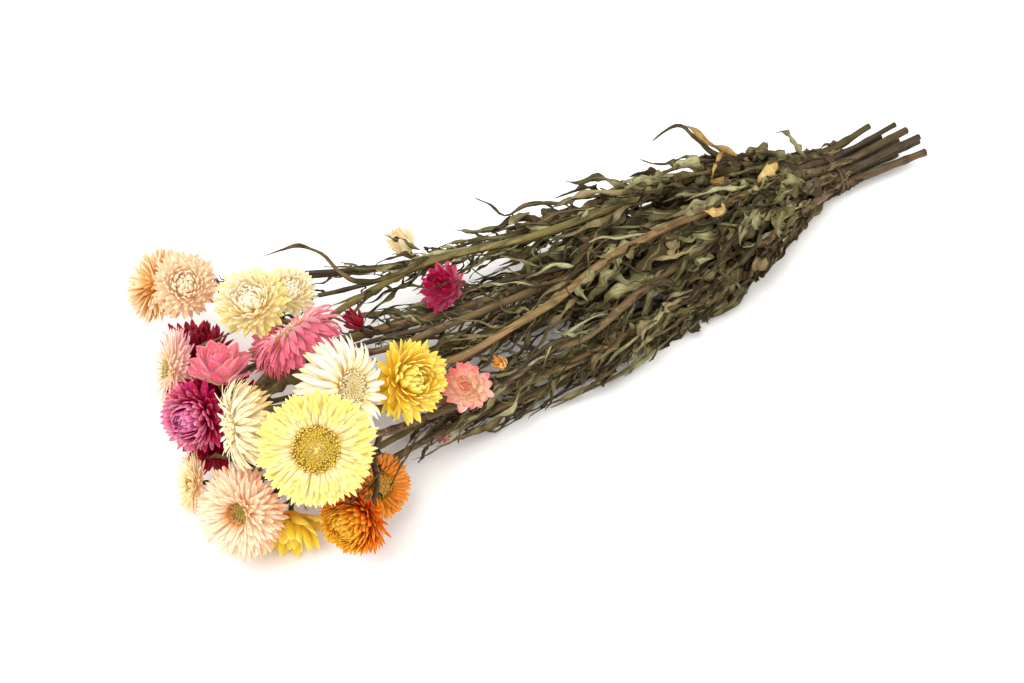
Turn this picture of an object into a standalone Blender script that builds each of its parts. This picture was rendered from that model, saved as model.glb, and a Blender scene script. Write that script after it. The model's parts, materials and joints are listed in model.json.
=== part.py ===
# A tied bunch of dried strawflowers, lying on a table.
#
# Metres, +Z up. The stems run along X: the flower heads are at -X and the cut
# ends at +X. The origin is on the table, under the middle of the bunch.
# The layout lists are in millimetres and are scaled by MM where they are used.
# They share one layout frame, which BUNCH_PLACE sets over the origin.

import math

import bmesh
import bpy
from mathutils import Vector

MM = 0.001

# Driving sizes of the bunch, in millimetres
BUNCH_PLACE = (-7.5, 1.5, 0.0)
TIE_X = 203.0
TIE_WIDTH = 8.0
TIE_WALL = 1.4
STEM_RADIUS = 3.1
NECK_RADIUS = 1.7
SHOOT_RADIUS = 1.9
BUD_NECK_RADIUS = 1.0
STEM_SPACING = 6.9
ROW_SPACING = 5.9
GAP = 0.35
NECK_LENGTH = 14.0
BUD_NECK_LENGTH = 8.0
SEAT_LENGTH = 2.0
STEM_STEP = 22.0
SHOOT_STEP = 16.0
STEM_SIDES = 8
SHOOT_SIDES = 6
CROWN_SEGMENTS = 14

# Colours of the dry flowers, stems and leaves
IVORY = (0.86, 0.80, 0.58)
CREAM = (0.93, 0.86, 0.60)
LEMON = (0.93, 0.80, 0.30)
YELLOW = (0.90, 0.62, 0.06)
ORANGE = (0.86, 0.26, 0.02)
AMBER = (0.84, 0.35, 0.04)
APRICOT = (0.80, 0.45, 0.16)
PEACH = (0.86, 0.50, 0.32)
BLUSH = (0.84, 0.55, 0.48)
CORAL = (0.76, 0.18, 0.20)
PINK = (0.72, 0.16, 0.28)
MAGENTA = (0.48, 0.02, 0.14)
WINE = (0.20, 0.008, 0.03)
STRAW = (0.78, 0.58, 0.34)
DISC_GOLD = (0.55, 0.36, 0.06)
OLIVE_STEM = (0.17, 0.14, 0.05)
TAN_STEM = (0.26, 0.17, 0.08)
BROWN_STEM = (0.12, 0.075, 0.04)
LEAF_GREEN = (0.13, 0.14, 0.06)
LEAF_BROWN = (0.15, 0.10, 0.05)
LEAF_PALE = (0.52, 0.38, 0.16)
RUBBER_TAN = (0.42, 0.26, 0.10)

# Crown outlines in diameters: radius, height, and how far the bract tips
# stand out of the rim there
CROWN_FORMS = {
    "open": ((0.05, 0.0, 0), (0.24, 0.05, 0), (0.40, 0.15, 0.02), (0.50, 0.28, 0.05),
             (0.43, 0.30, 0), (0.20, 0.19, 0), (0.19, 0.12, 0)),
    "incurved": ((0.05, 0.0, 0), (0.28, 0.05, 0), (0.45, 0.17, 0.02), (0.50, 0.30, 0.05),
                 (0.42, 0.44, 0.03), (0.24, 0.52, 0), (0.08, 0.53, 0)),
    "reflexed": ((0.05, 0.10, 0), (0.30, 0.04, 0), (0.47, 0.0, 0.03), (0.50, 0.06, 0.05),
                 (0.44, 0.20, 0), (0.27, 0.32, 0), (0.10, 0.35, 0)),
    "cup": ((0.05, 0.0, 0), (0.26, 0.07, 0), (0.42, 0.22, 0.02), (0.50, 0.44, 0.05),
            (0.42, 0.50, 0.03), (0.25, 0.46, 0), (0.08, 0.44, 0)),
    "bud": ((0.12, 0.0, 0), (0.42, 0.25, 0), (0.50, 0.55, 0.03), (0.40, 0.90, 0.03),
            (0.20, 1.15, 0), (0.08, 1.22, 0)),
}
# Height of the head's middle over its base, and of the base over the outline's zero
CROWN_MIDDLE = {"open": 0.20, "incurved": 0.30, "reflexed": 0.18, "cup": 0.34, "bud": 0.60}
CROWN_BASE = {"open": 0.0, "incurved": 0.0, "reflexed": 0.10, "cup": 0.0, "bud": 0.0}
DISC_RADIUS = 0.17
DISC_FLOOR = 0.12
DISC_HEIGHT = 0.12

# Each head: middle (mm), diameter (mm), direction it faces, form, colour
HEADS = {
    "apricot_old": ((-213, 92, 62), 43, (-0.66, 0.17, 0.73), "reflexed", APRICOT),
    "peach_pompon": ((-206, 61, 87), 36, (-0.13, -0.55, 0.83), "incurved", PEACH),
    "cream_double": ((-181, 33, 88), 39, (-0.33, -0.27, 0.91), "incurved", CREAM),
    "cream_second": ((-152, 47, 69), 30, (0.14, -0.42, 0.90), "incurved", CREAM),
    "pink_reflexed": ((-173, -11, 96), 43, (-0.20, 0.77, 0.60), "reflexed", PINK),
    "blush_left": ((-233, 35, 58), 41, (-0.91, 0.24, 0.34), "open", BLUSH),
    "wine_back": ((-209, 51, 50), 32, (0.13, 0.47, 0.87), "cup", WINE),
    "coral_cup": ((-211, 2, 84), 34, (0.21, 0.28, 0.94), "cup", CORAL),
    "magenta_pompon": ((-236, -14, 70), 39, (-0.81, -0.40, 0.44), "incurved", MAGENTA),
    "wine_middle": ((-219, -1, 48), 34, (-0.45, -0.60, 0.67), "cup", WINE),
    "cream_swept": ((-219, -44, 88), 41, (-0.96, 0.21, 0.16), "reflexed", STRAW),
    "ivory_swept": ((-165, -53, 94), 43, (0.50, -0.74, 0.45), "reflexed", IVORY),
    "lemon_large": ((-196, -86, 100), 55, (-0.33, -0.65, 0.69), "open", LEMON),
    "yellow_side": ((-126, -51, 77), 41, (0.25, -0.72, 0.65), "incurved", YELLOW),
    "rose_small": ((-99, -57, 63), 28, (-0.40, -0.40, 0.83), "cup", CORAL),
    "magenta_small": ((-76, 15, 62), 27, (-0.57, -0.20, 0.80), "cup", MAGENTA),
    "ruby_bud": ((-129, 16, 60), 10, (-0.47, 0.48, 0.74), "bud", MAGENTA),
    "cream_bud": ((-76, 66, 52), 15, (-0.41, 0.37, 0.83), "bud", CREAM),
    "straw_bud": ((-73, -46, 56), 8, (-0.66, 0.08, 0.74), "bud", STRAW),
    "rose_tiny_bud": ((-106, -40, 8), 8, (-0.86, -0.43, -0.27), "bud", CORAL),
    "peach_large": ((-234, -62, 44), 49, (-0.68, -0.49, 0.54), "open", PEACH),
    "straw_low": ((-246, -20, 30), 32, (-0.93, 0.19, 0.32), "open", STRAW),
    "yellow_cup": ((-208, -65, 16), 32, (-0.42, -0.81, -0.41), "cup", YELLOW),
    "orange_large": ((-187, -95, 44), 43, (-0.89, -0.41, 0.20), "incurved", ORANGE),
    "orange_side": ((-158, -75, 35), 34, (0.27, -0.72, 0.63), "open", AMBER),
    "wine_low": ((-163, -71, 12), 24, (0.01, -0.95, -0.32), "cup", WINE),
    "back_rose": ((-167, 61, 17), 34, (-0.57, 0.82, -0.05), "cup", CORAL),
    "back_gold": ((-215, 57, 17), 34, (-0.84, 0.47, -0.26), "cup", AMBER),
    "under_cream": ((-223, 9, 16), 32, (-0.98, 0.10, -0.15), "cup", CREAM),
    "under_wine": ((-183, -17, 16), 32, (-0.97, -0.10, -0.20), "cup", WINE),
}

# Place of each stem in the tied bundle: column along Y and row up Z
TIE_MIDDLE_Y = 29.0
TIE_SLOTS = {
    "stem_thick": (-1.5, 2), "stem_tan": (-0.5, 2), "stem_brown": (0.5, 2), "stem_olive": (1.5, 2),
    "stem_thin": (-2.0, 1), "stem_magenta": (-1.0, 1), "stem_rose": (0.0, 1), "stem_back": (1.0, 1),
    "stem_bottom": (-1.5, 0), "stem_low_front": (-0.5, 0),
    "stem_low_middle": (0.5, 0), "stem_low_back": (1.5, 0),
}

# Each stem: cut end (mm), colour, route from the tie to the head's neck (mm),
# the head it ends in, and its side shoots. A shoot starts at a numbered point
# of the route and gives its own points and its head.
STEMS = {
    "stem_olive": dict(
        cut=(243, 43, 21), colour=OLIVE_STEM, head="cream_double",
        route=((170, 37, 28), (106, 33, 48), (59, 26, 58), (26, 22, 62), (-15, 24, 62),
               (-73, 36, 60), (-122, 33, 56), (-150, 26, 58)),
        shoots=((5, ((-110, 47, 50),), "cream_second"),)),
    "stem_brown": dict(
        cut=(259, 37, 20), colour=BROWN_STEM, head="pink_reflexed",
        route=((150, 22, 33), (100, 14, 42), (55, 8, 44), (16, -2, 50), (-14, -8, 55),
               (-41, -10, 58), (-84, -14, 63), (-125, -21, 72)),
        shoots=((6, ((-130, -7, 66), (-175, -1, 62)), "coral_cup"),
                (3, ((-20, 11, 46),), "magenta_small"),
                (5, ((-80, 3, 50),), "ruby_bud"))),
    "stem_tan": dict(
        cut=(263, 30, 19), colour=TAN_STEM, head="ivory_swept",
        route=((150, 12, 41), (100, 1, 53), (59, -1, 55), (9, -13, 61), (-25, -25, 62),
               (-57, -32, 63), (-95, -35, 60), (-130, -29, 64)),
        shoots=((6, (), "yellow_side"),)),
    "stem_thick": dict(
        cut=(266, 21, 19), colour=BROWN_STEM, head="lemon_large",
        route=((150, 2, 38), (100, -13, 46), (28, -27, 42), (-14, -42, 44), (-45, -44, 45),
               (-75, -48, 40), (-110, -47, 38), (-150, -58, 55)),
        shoots=((4, (), "rose_small"),
                (3, ((-40, -44, 52),), "straw_bud"),
                (7, ((-160, -70, 54),), "orange_large"))),
    "stem_thin": dict(
        cut=(267, 14, 11), colour=TAN_STEM, head="cream_swept",
        route=((150, -6, 24), (100, -22, 28), (30, -36, 26), (-31, -43, 27), (-75, -42, 29),
               (-110, -36, 34), (-145, -34, 46), (-180, -38, 66)),
        shoots=()),
    "stem_magenta": dict(
        cut=(269, 23, 12), colour=OLIVE_STEM, head="magenta_pompon",
        route=((150, 8, 18), (100, 0, 26), (50, -4, 30), (0, -8, 34), (-50, -10, 38),
               (-100, -12, 42), (-150, -16, 48), (-188, -16, 54)),
        shoots=((5, ((-150, 2, 32), (-180, 9, 30)), "wine_middle"),)),
    "stem_rose": dict(
        cut=(258, 31, 12), colour=TAN_STEM, head="blush_left",
        route=((150, 20, 20), (100, 20, 26), (50, 16, 32), (0, 13, 36), (-50, 13, 38),
               (-100, 18, 40), (-150, 24, 44), (-185, 29, 50)),
        shoots=((6, ((-180, 35, 34),), "wine_back"),)),
    "stem_back": dict(
        cut=(250, 38, 12), colour=BROWN_STEM, head="apricot_old",
        route=((150, 37, 19), (100, 42, 30), (50, 46, 36), (0, 48, 40), (-50, 50, 42),
               (-100, 60, 46), (-150, 77, 48)),
        shoots=((5, ((-150, 69, 58),), "peach_pompon"),
                (3, ((-35, 56, 40),), "cream_bud"))),
    "stem_low_back": dict(
        cut=(240, 43, 5), colour=OLIVE_STEM, head="back_gold",
        route=((150, 42, 5), (100, 45, 5), (50, 46, 6), (0, 46, 8), (-50, 46, 10),
               (-100, 43, 14), (-150, 40, 19), (-170, 43, 21)),
        shoots=((5, ((-130, 42, 20),), "back_rose"),)),
    "stem_low_middle": dict(
        cut=(252, 35, 4), colour=TAN_STEM, head="under_cream",
        route=((150, 26, 4), (100, 20, 4), (50, 16, 5), (0, 14, 6), (-50, 12, 8),
               (-100, 10, 12), (-150, 8, 17)),
        shoots=((5, ((-130, -6, 18),), "under_wine"),)),
    "stem_low_front": dict(
        cut=(256, 27, 4), colour=OLIVE_STEM, head="peach_large",
        route=((150, 10, 4), (100, -4, 4), (50, -14, 4), (0, -20, 4), (-50, -22, 5),
               (-100, -24, 6), (-140, -31, 9), (-170, -40, 17), (-194, -43, 28)),
        shoots=((7, (), "yellow_cup"),
                (8, ((-210, -32, 26),), "straw_low"))),
    "stem_bottom": dict(
        cut=(258, 19, 4), colour=BROWN_STEM, head="orange_side",
        route=((150, -4, 4), (100, -22, 4), (50, -33, 5), (-4, -40, 9), (-68, -41, 13),
               (-112, -44, 16), (-138, -51, 20)),
        shoots=((5, ((-135, -46, 16),), "wine_low"),
                (4, ((-84, -37, 11),), "rose_tiny_bud"))),
}

# Where a neck leaves its head for somewhere other than back along the bunch
NECK_BEND = {
    "orange_large": (0.3, 0.6, 0.7), "yellow_cup": (1.0, 0.5, -0.3), "coral_cup": (1.0, 0.0, 0.3),
    "magenta_pompon": (1.0, -0.8, 0.2), "cream_double": (0.8, -0.6, -0.4),
}
BACK_ALONG_BUNCH = (1.0, 0.0, -0.15)

# Each separate leaf: the stem that carries it, the point on that stem, the
# side it sits on, its own points (mm), its half width (mm) and its colour
LEAVES = {
    "leaf_long_curl": ("stem_olive", (-73, 36, 60), (0, 0, 1),
                       ((-94, 31, 66), (-117, 33, 68), (-125, 40, 74), (-131, 51, 81),
                        (-140, 59, 84), (-151, 63, 83), (-158, 67, 79)), 2.6, LEAF_BROWN),
    "leaf_top_hook": ("stem_olive", (127.5, 34.7, 41.9), (0, 1, 0.3),
                      ((121, 46, 50), (114, 53, 59), (109, 60, 65), (101, 64, 61), (92, 65, 56)),
                      2.4, LEAF_GREEN),
    "leaf_top_curl": ("stem_olive", (59, 26, 58), (0, 1, 0.3),
                      ((52, 40, 60), (46, 52, 58), (38, 58, 52), (32, 66, 50)), 2.8, LEAF_GREEN),
    "leaf_tie_tip": ("stem_olive", (183, 38.2, 22.4), (0, 0.8, 0.6),
                     ((184, 45, 31), (182, 50, 37), (177, 54, 35)), 2.6, LEAF_GREEN),
    "leaf_front_hook": ("stem_thin", (30, -36, 26), (0, -1, 0),
                        ((22, -46, 24), (16, -52, 20), (6, -54, 18), (-2, -50, 20)),
                        2.6, LEAF_GREEN),
    "leaf_tendril_dark": ("stem_thick", (-110, -47, 38), (0, -1, 0.2),
                          ((-122, -58, 44), (-134, -68, 52), (-146, -82, 60), (-158, -92, 62),
                           (-166, -97, 56)), 1.6, LEAF_BROWN),
    "leaf_pale_crisp": ("stem_tan", (100, 1, 53), (0, -0.3, 1),
                        ((96, -8, 60), (88, -12, 64), (80, -8, 66)), 3.6, LEAF_PALE),
    "leaf_low_sweep": ("stem_bottom", (50, -33, 5), (0, -1, 0.2),
                       ((30, -44, 7), (6, -50, 8), (-20, -53, 10), (-44, -52, 8)),
                       2.2, LEAF_GREEN),
}
LEAF_THICKNESS = 1.2


def clear_scene():
    """Remove whatever the file already holds."""
    for thing in list(bpy.data.objects):
        bpy.data.objects.remove(thing, do_unlink=True)


def make_material(name, colour, roughness):
    """A plain dry surface: one colour and one roughness."""
    material = bpy.data.materials.new(name)
    material.use_nodes = True
    shader = material.node_tree.nodes["Principled BSDF"]
    shader.inputs["Base Color"].default_value = (*colour, 1.0)
    shader.inputs["Roughness"].default_value = roughness
    shader.inputs["Metallic"].default_value = 0.0
    return material


def add_object(name, rings, origin, material, parent):
    """Skin closed rings of points, in mm, into one capped solid about its origin."""
    bm = bmesh.new()
    loops = []
    for ring in rings:
        loops.append([bm.verts.new((point - origin) * MM) for point in ring])
    count = len(loops[0])
    for lower, upper in zip(loops, loops[1:]):
        for k in range(count):
            nxt = (k + 1) % count
            bm.faces.new((lower[k], lower[nxt], upper[nxt], upper[k]))
    bm.faces.new(list(reversed(loops[0])))
    bm.faces.new(loops[-1])
    bmesh.ops.recalc_face_normals(bm, faces=bm.faces)
    mesh = bpy.data.meshes.new(name)
    bm.to_mesh(mesh)
    bm.free()
    for polygon in mesh.polygons:
        polygon.use_smooth = len(polygon.vertices) == 4
    mesh.materials.append(material)
    thing = bpy.data.objects.new(name, mesh)
    thing.location = origin * MM
    thing.parent = parent
    bpy.context.scene.collection.objects.link(thing)
    return thing


def smooth_route(points, step):
    """A rounded path through hand-placed points, with a sample about every step."""
    points = [Vector(p) for p in points]
    first = points[0] * 2 - points[1]
    last = points[-1] * 2 - points[-2]
    padded = [first] + points + [last]
    path = [points[0]]
    for before, start, end, after in zip(padded, padded[1:], padded[2:], padded[3:]):
        reach = (end - start).length
        tangent_in = (end - before) * (reach / max((end - before).length, 1e-6))
        tangent_out = (after - start) * (reach / max((after - start).length, 1e-6))
        count = max(1, round(reach / step))
        for k in range(1, count + 1):
            t = k / count
            path.append(start * (2 * t**3 - 3 * t**2 + 1) + tangent_in * (t**3 - 2 * t**2 + t)
                        + end * (3 * t**2 - 2 * t**3) + tangent_out * (t**3 - t**2))
    return path


def sweep(path, widths, thicknesses, sides, side_axis):
    """Elliptic rings along a path, carried along without twisting."""
    rings = []
    across = Vector(side_axis)
    for k, point in enumerate(path):
        ahead = path[min(k + 1, len(path) - 1)] - path[max(k - 1, 0)]
        ahead.normalize()
        across = (across - ahead * across.dot(ahead)).normalized()
        up = ahead.cross(across)
        ring = []
        for s in range(sides):
            angle = 2 * math.pi * s / sides
            ring.append(point + across * (widths[k] * math.cos(angle))
                        + up * (thicknesses[k] * math.sin(angle)))
        rings.append(ring)
    return rings


def head_base(name):
    """The point where a head's stem ends, and the direction the head faces."""
    middle, diameter, facing, form, _ = HEADS[name]
    facing = Vector(facing).normalized()
    rise = CROWN_MIDDLE[form] - CROWN_BASE[form]
    return Vector(middle) - facing * (rise * diameter), facing


def neck_points(name):
    """The last points of a stem: out of the head's back, then bending along the bunch."""
    base, facing = head_base(name)
    is_bud = HEADS[name][3] == "bud"
    length = BUD_NECK_LENGTH if is_bud else NECK_LENGTH
    aim = Vector(NECK_BEND.get(name, BACK_ALONG_BUNCH)).normalized()
    points = [base - facing * GAP, base - facing * (GAP + SEAT_LENGTH)]
    heading = -facing
    for _ in range(3):
        heading = (heading * 0.8 + aim * 0.35).normalized()
        points.append(points[-1] + heading * (length / 3))
    return list(reversed(points))


def tie_point(stem_name, x):
    """Where a stem passes through the tied bundle."""
    column, row = TIE_SLOTS[stem_name]
    y = TIE_MIDDLE_Y + column * STEM_SPACING
    z = TIE_WALL + GAP + STEM_RADIUS + 0.05 + row * ROW_SPACING
    return Vector((x, y, z))


def taper(path, start, end):
    """Radii that fall evenly along a path."""
    return [start + (end - start) * k / (len(path) - 1) for k in range(len(path))]


def build_stem(name, parent):
    """One main stem with its side shoots joined on as one solid."""
    stem = STEMS[name]
    material = make_material(name + "_material", stem["colour"], 0.85)
    half = TIE_WIDTH / 2 + 3
    points = [Vector(stem["cut"]), tie_point(name, TIE_X + half), tie_point(name, TIE_X - half)]
    points += [Vector(p) for p in stem["route"]] + neck_points(stem["head"])
    path = smooth_route(points, STEM_STEP)
    radii = []
    for point in path:
        along = min(max((TIE_X - half - point.x) / (TIE_X - half - points[-1].x), 0.0), 1.0)
        radii.append(STEM_RADIUS + (NECK_RADIUS - STEM_RADIUS) * along)
    origin = points[0]
    thing = add_object(name, sweep(path, radii, radii, STEM_SIDES, (0, 1, 0)),
                       origin, material, parent)
    for number, (start, via, head) in enumerate(stem["shoots"]):
        neck = BUD_NECK_RADIUS if HEADS[head][3] == "bud" else NECK_RADIUS
        shoot_points = [Vector(stem["route"][start])] + [Vector(p) for p in via]
        shoot_path = smooth_route(shoot_points + neck_points(head), SHOOT_STEP)
        shoot_radii = taper(shoot_path, min(SHOOT_RADIUS, neck + 0.5), neck)
        rings = sweep(shoot_path, shoot_radii, shoot_radii, SHOOT_SIDES, (0, 1, 0))
        helper = add_object(f"{name}_shoot_{number + 1}", rings, origin, material, parent)
        helper.hide_render = True
        helper.display_type = "WIRE"
        union = thing.modifiers.new(f"shoot_{number + 1}", "BOOLEAN")
        union.operation = "UNION"
        union.solver = "EXACT"
        union.object = helper
    return thing


def build_crown(name, parent):
    """The closed mass of papery bracts of one head, and its disc if it is open."""
    _, diameter, _, form, colour = HEADS[name]
    base, facing = head_base(name)
    zero = base - facing * (CROWN_BASE[form] * diameter)
    turn = facing.to_track_quat("Z", "Y").to_matrix()
    rings = []
    for radius, height, tips in CROWN_FORMS[form]:
        ring = []
        for k in range(CROWN_SEGMENTS):
            angle = 2 * math.pi * k / CROWN_SEGMENTS
            reach = diameter * (radius - tips * (k % 2))
            local = Vector((reach * math.cos(angle), reach * math.sin(angle), diameter * height))
            ring.append(zero + turn @ local)
        rings.append(ring)
    add_object(name + "_bracts", rings, zero,
               make_material(name + "_bracts_material", colour, 0.6), parent)
    if form == "open":
        build_disc(name, zero, turn, diameter, parent)


def build_disc(name, zero, turn, diameter, parent):
    """The flat middle of small florets, in the well of an open head."""
    floor = DISC_FLOOR * diameter + GAP
    radius = DISC_RADIUS * diameter
    top = floor + DISC_HEIGHT * diameter
    rings = []
    for reach, height in ((radius, floor), (radius, top - 0.3 * radius), (radius * 0.55, top)):
        ring = []
        for k in range(CROWN_SEGMENTS):
            angle = 2 * math.pi * k / CROWN_SEGMENTS
            local = Vector((reach * math.cos(angle), reach * math.sin(angle), height))
            ring.append(zero + turn @ local)
        rings.append(ring)
    add_object(name + "_disc", rings, zero + turn @ Vector((0, 0, floor)),
               make_material(name + "_disc_material", DISC_GOLD, 0.9), parent)


def build_leaf(name, parent):
    """One dry leaf: a thin curled blade that starts at its stem's surface."""
    carrier, seat, side, points, half_width, colour = LEAVES[name]
    seat = Vector(seat)
    side = Vector(side).normalized()
    neck = Vector(neck_points(STEMS[carrier]["head"])[-1])
    along = min(max((TIE_X - seat.x) / (TIE_X - neck.x), 0.0), 1.0)
    radius = STEM_RADIUS + (NECK_RADIUS - STEM_RADIUS) * along
    start = seat + side * (radius + GAP + LEAF_THICKNESS / 2)
    path = smooth_route([start] + [Vector(p) for p in points], 9.0)
    last = len(path) - 1
    widths = [half_width * (0.35 + 0.65 * math.sin(math.pi * min(1.0, 0.12 + 0.8 * k / last)))
              for k in range(last + 1)]
    thicknesses = [LEAF_THICKNESS / 2] * (last + 1)
    lean = (path[1] - path[0]).cross(side)
    rings = sweep(path, widths, thicknesses, SHOOT_SIDES, lean)
    add_object(name, rings, start, make_material(name + "_material", colour, 0.9), parent)


def build_tie(parent):
    """A thin rubber band drawn round the whole bundle at its narrowest."""
    material = make_material("rubber_tie_material", RUBBER_TAN, 0.7)
    sections = []
    for clearance, width in ((GAP + TIE_WALL, TIE_WIDTH), (GAP, TIE_WIDTH + 4)):
        bm = bmesh.new()
        for name in TIE_SLOTS:
            for x in (TIE_X - width / 2, TIE_X + width / 2):
                middle = tie_point(name, x)
                for k in range(16):
                    angle = 2 * math.pi * k / 16
                    spoke = Vector((0, math.cos(angle), math.sin(angle)))
                    bm.verts.new((middle + spoke * (STEM_RADIUS + clearance)) * MM)
        hull = bmesh.ops.convex_hull(bm, input=bm.verts)
        loose = [v for v in hull["geom_interior"] if isinstance(v, bmesh.types.BMVert)]
        bmesh.ops.delete(bm, geom=loose, context="VERTS")
        bmesh.ops.recalc_face_normals(bm, faces=bm.faces)
        mesh = bpy.data.meshes.new("rubber_tie")
        bm.to_mesh(mesh)
        bm.free()
        mesh.materials.append(material)
        sections.append(mesh)
    band = bpy.data.objects.new("rubber_tie", sections[0])
    bore = bpy.data.objects.new("rubber_tie_bore", sections[1])
    for thing in (band, bore):
        thing.parent = parent
        bpy.context.scene.collection.objects.link(thing)
    bore.hide_render = True
    bore.display_type = "WIRE"
    cut = band.modifiers.new("bore", "BOOLEAN")
    cut.operation = "DIFFERENCE"
    cut.solver = "EXACT"
    cut.object = bore


def main():
    clear_scene()
    bunch = bpy.data.objects.new("strawflower_bunch", None)
    bunch.location = Vector(BUNCH_PLACE) * MM
    bpy.context.scene.collection.objects.link(bunch)
    for name in STEMS:
        build_stem(name, bunch)
    for name in HEADS:
        build_crown(name, bunch)
    for name in LEAVES:
        build_leaf(name, bunch)
    build_tie(bunch)


main()
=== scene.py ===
# %% [markdown]
# # A tied bunch of dried strawflowers
# The bunch lies on a table: papery flower heads at -X, bare cut ends at +X. The
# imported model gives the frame, and this lesson makes the surface around it: the
# bracts of every head, the discs, the ribbed stems, the crumpled leaves and the
# rubber band. Nearly everything repeats a few natural forms hundreds of times, so
# each form is worked out once as a function and then laid out in whole arrays.

# %% Load the frame
import json
import math

import bpy
import numpy as np
from mathutils import Matrix, Vector

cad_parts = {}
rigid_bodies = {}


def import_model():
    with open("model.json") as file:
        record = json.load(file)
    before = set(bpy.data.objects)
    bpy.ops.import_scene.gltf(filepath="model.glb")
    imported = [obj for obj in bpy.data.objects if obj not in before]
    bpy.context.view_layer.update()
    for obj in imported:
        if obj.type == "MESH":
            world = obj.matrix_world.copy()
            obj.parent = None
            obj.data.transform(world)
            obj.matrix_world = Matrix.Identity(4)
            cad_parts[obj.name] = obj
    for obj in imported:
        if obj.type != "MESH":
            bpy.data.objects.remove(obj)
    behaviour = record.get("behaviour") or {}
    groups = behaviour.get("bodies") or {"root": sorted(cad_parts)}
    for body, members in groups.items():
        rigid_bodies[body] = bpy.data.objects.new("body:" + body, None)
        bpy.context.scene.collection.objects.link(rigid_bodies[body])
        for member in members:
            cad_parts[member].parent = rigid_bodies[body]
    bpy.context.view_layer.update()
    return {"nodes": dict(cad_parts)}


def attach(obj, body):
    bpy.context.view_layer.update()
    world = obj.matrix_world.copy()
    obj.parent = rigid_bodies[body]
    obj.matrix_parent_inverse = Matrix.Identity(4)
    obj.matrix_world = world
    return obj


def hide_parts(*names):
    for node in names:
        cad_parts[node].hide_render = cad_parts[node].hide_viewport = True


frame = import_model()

MM = 0.001
BUNCH_PLACE = np.array((-7.5, 1.5, 0.0))
FLOOR_CLEARANCE = 0.4

# %% [markdown]
# ## Camera
# A picture is easiest to match when the camera comes first. This one stands a
# metre from the bunch, turned 29 degrees to the left and looking down at 48
# degrees. Its three axes are worked out from those angles, so nothing is aimed by
# eye: the camera looks along minus its own Z.

# %% Set up the camera
CAMERA_AZIMUTH = math.radians(-29)
CAMERA_ELEVATION = math.radians(48)
CAMERA_DISTANCE = 1.0
CAMERA_LENS = 64
SENSOR_WIDTH = 36
CAMERA_TARGET = Vector((-0.0625, -0.0255, 0.045))

flat_reach = math.cos(CAMERA_ELEVATION)
toward_camera = Vector((math.sin(CAMERA_AZIMUTH) * flat_reach,
                        -math.cos(CAMERA_AZIMUTH) * flat_reach,
                        math.sin(CAMERA_ELEVATION)))
camera_right = Vector((math.cos(CAMERA_AZIMUTH), math.sin(CAMERA_AZIMUTH), 0))
camera_up = toward_camera.cross(camera_right)
camera_data = bpy.data.cameras.new("camera")
camera_data.lens = CAMERA_LENS
camera_data.sensor_width = SENSOR_WIDTH
camera = bpy.data.objects.new("camera", camera_data)
turn = Matrix((camera_right, camera_up, toward_camera)).transposed().to_4x4()
camera.matrix_world = Matrix.Translation(CAMERA_TARGET + toward_camera * CAMERA_DISTANCE) @ turn
bpy.context.scene.collection.objects.link(camera)
bpy.context.scene.camera = camera
print("camera stands at", [round(c, 3) for c in camera.matrix_world.translation])

# %% [markdown]
# ## Light and floor
# Dried flowers are thin and matt, and a studio shows them in broad soft light. Most of
# it comes from a bright pale world. A panel high on the left gives it a direction, and
# a weaker one on the right opens the shadows. The floor is nearly white. The Standard
# view keeps the strong dye-like colours that a filmic view would grey.

# %% Set up light and floor
KEY_WATTS = 18.0
FILL_WATTS = 8.0
WORLD_STRENGTH = 1.05
WORLD_COLOUR = (1.0, 0.975, 0.93, 1.0)
LAMP_AIM = Vector((-0.03, 0.0, 0.04))


def add_panel(name, place, size, watts):
    """A square lamp at a place, turned to face the middle of the bunch."""
    data = bpy.data.lights.new(name, "AREA")
    data.size = size
    data.energy = watts
    lamp = bpy.data.objects.new(name, data)
    aim = LAMP_AIM - Vector(place)
    turn = aim.to_track_quat("-Z", "Y").to_matrix().to_4x4()
    lamp.matrix_world = Matrix.Translation(place) @ turn
    bpy.context.scene.collection.objects.link(lamp)


add_panel("key_panel", (-0.75, -0.35, 1.35), 0.9, KEY_WATTS)
add_panel("fill_panel", (0.7, -1.1, 0.9), 1.2, FILL_WATTS)

world = bpy.data.worlds.new("studio")
world.use_nodes = True
background = world.node_tree.nodes["Background"]
background.inputs["Color"].default_value = WORLD_COLOUR
background.inputs["Strength"].default_value = WORLD_STRENGTH
bpy.context.scene.world = world
bpy.context.scene.view_settings.view_transform = "Standard"

FLOOR_SIZE = 12.0
floor_mesh = bpy.data.meshes.new("floor")
half = FLOOR_SIZE / 2
floor_corners = [(-half, -half, 0), (half, -half, 0), (half, half, 0), (-half, half, 0)]
floor_mesh.from_pydata(floor_corners, [], [(0, 1, 2, 3)])
floor = bpy.data.objects.new("floor", floor_mesh)
bpy.context.scene.collection.objects.link(floor)

# %% [markdown]
# ## Tools for materials
# Every material here is built from a handful of nodes, so a few short helpers keep
# the recipes readable: `put` adds a node, `ramp` turns a number into a colour,
# `blend` mixes two colours, `reckon` is one sum, and `fade` is a soft step. Colours
# are given as they look on screen, and `paint` turns them into the linear
# values Blender uses.

# %% Helpers for node materials
def paint(colour):
    """A colour as seen on screen, 0 to 255 each, in Blender's linear values."""
    seen = np.array(colour) / 255
    linear = np.where(seen <= 0.04045, seen / 12.92, ((seen + 0.055) / 1.055) ** 2.4)
    return (*linear.tolist(), 1.0)


def start_material(name, roughness):
    """A new node material: its tree and its Principled shader."""
    material = bpy.data.materials.new(name)
    material.use_nodes = True
    shader = material.node_tree.nodes["Principled BSDF"]
    shader.inputs["Roughness"].default_value = roughness
    return material, material.node_tree, shader


def feed(tree, socket, value):
    """Give a socket a link from another node, or else a plain value."""
    if isinstance(value, bpy.types.NodeSocket):
        tree.links.new(value, socket)
    else:
        socket.default_value = value


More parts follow.
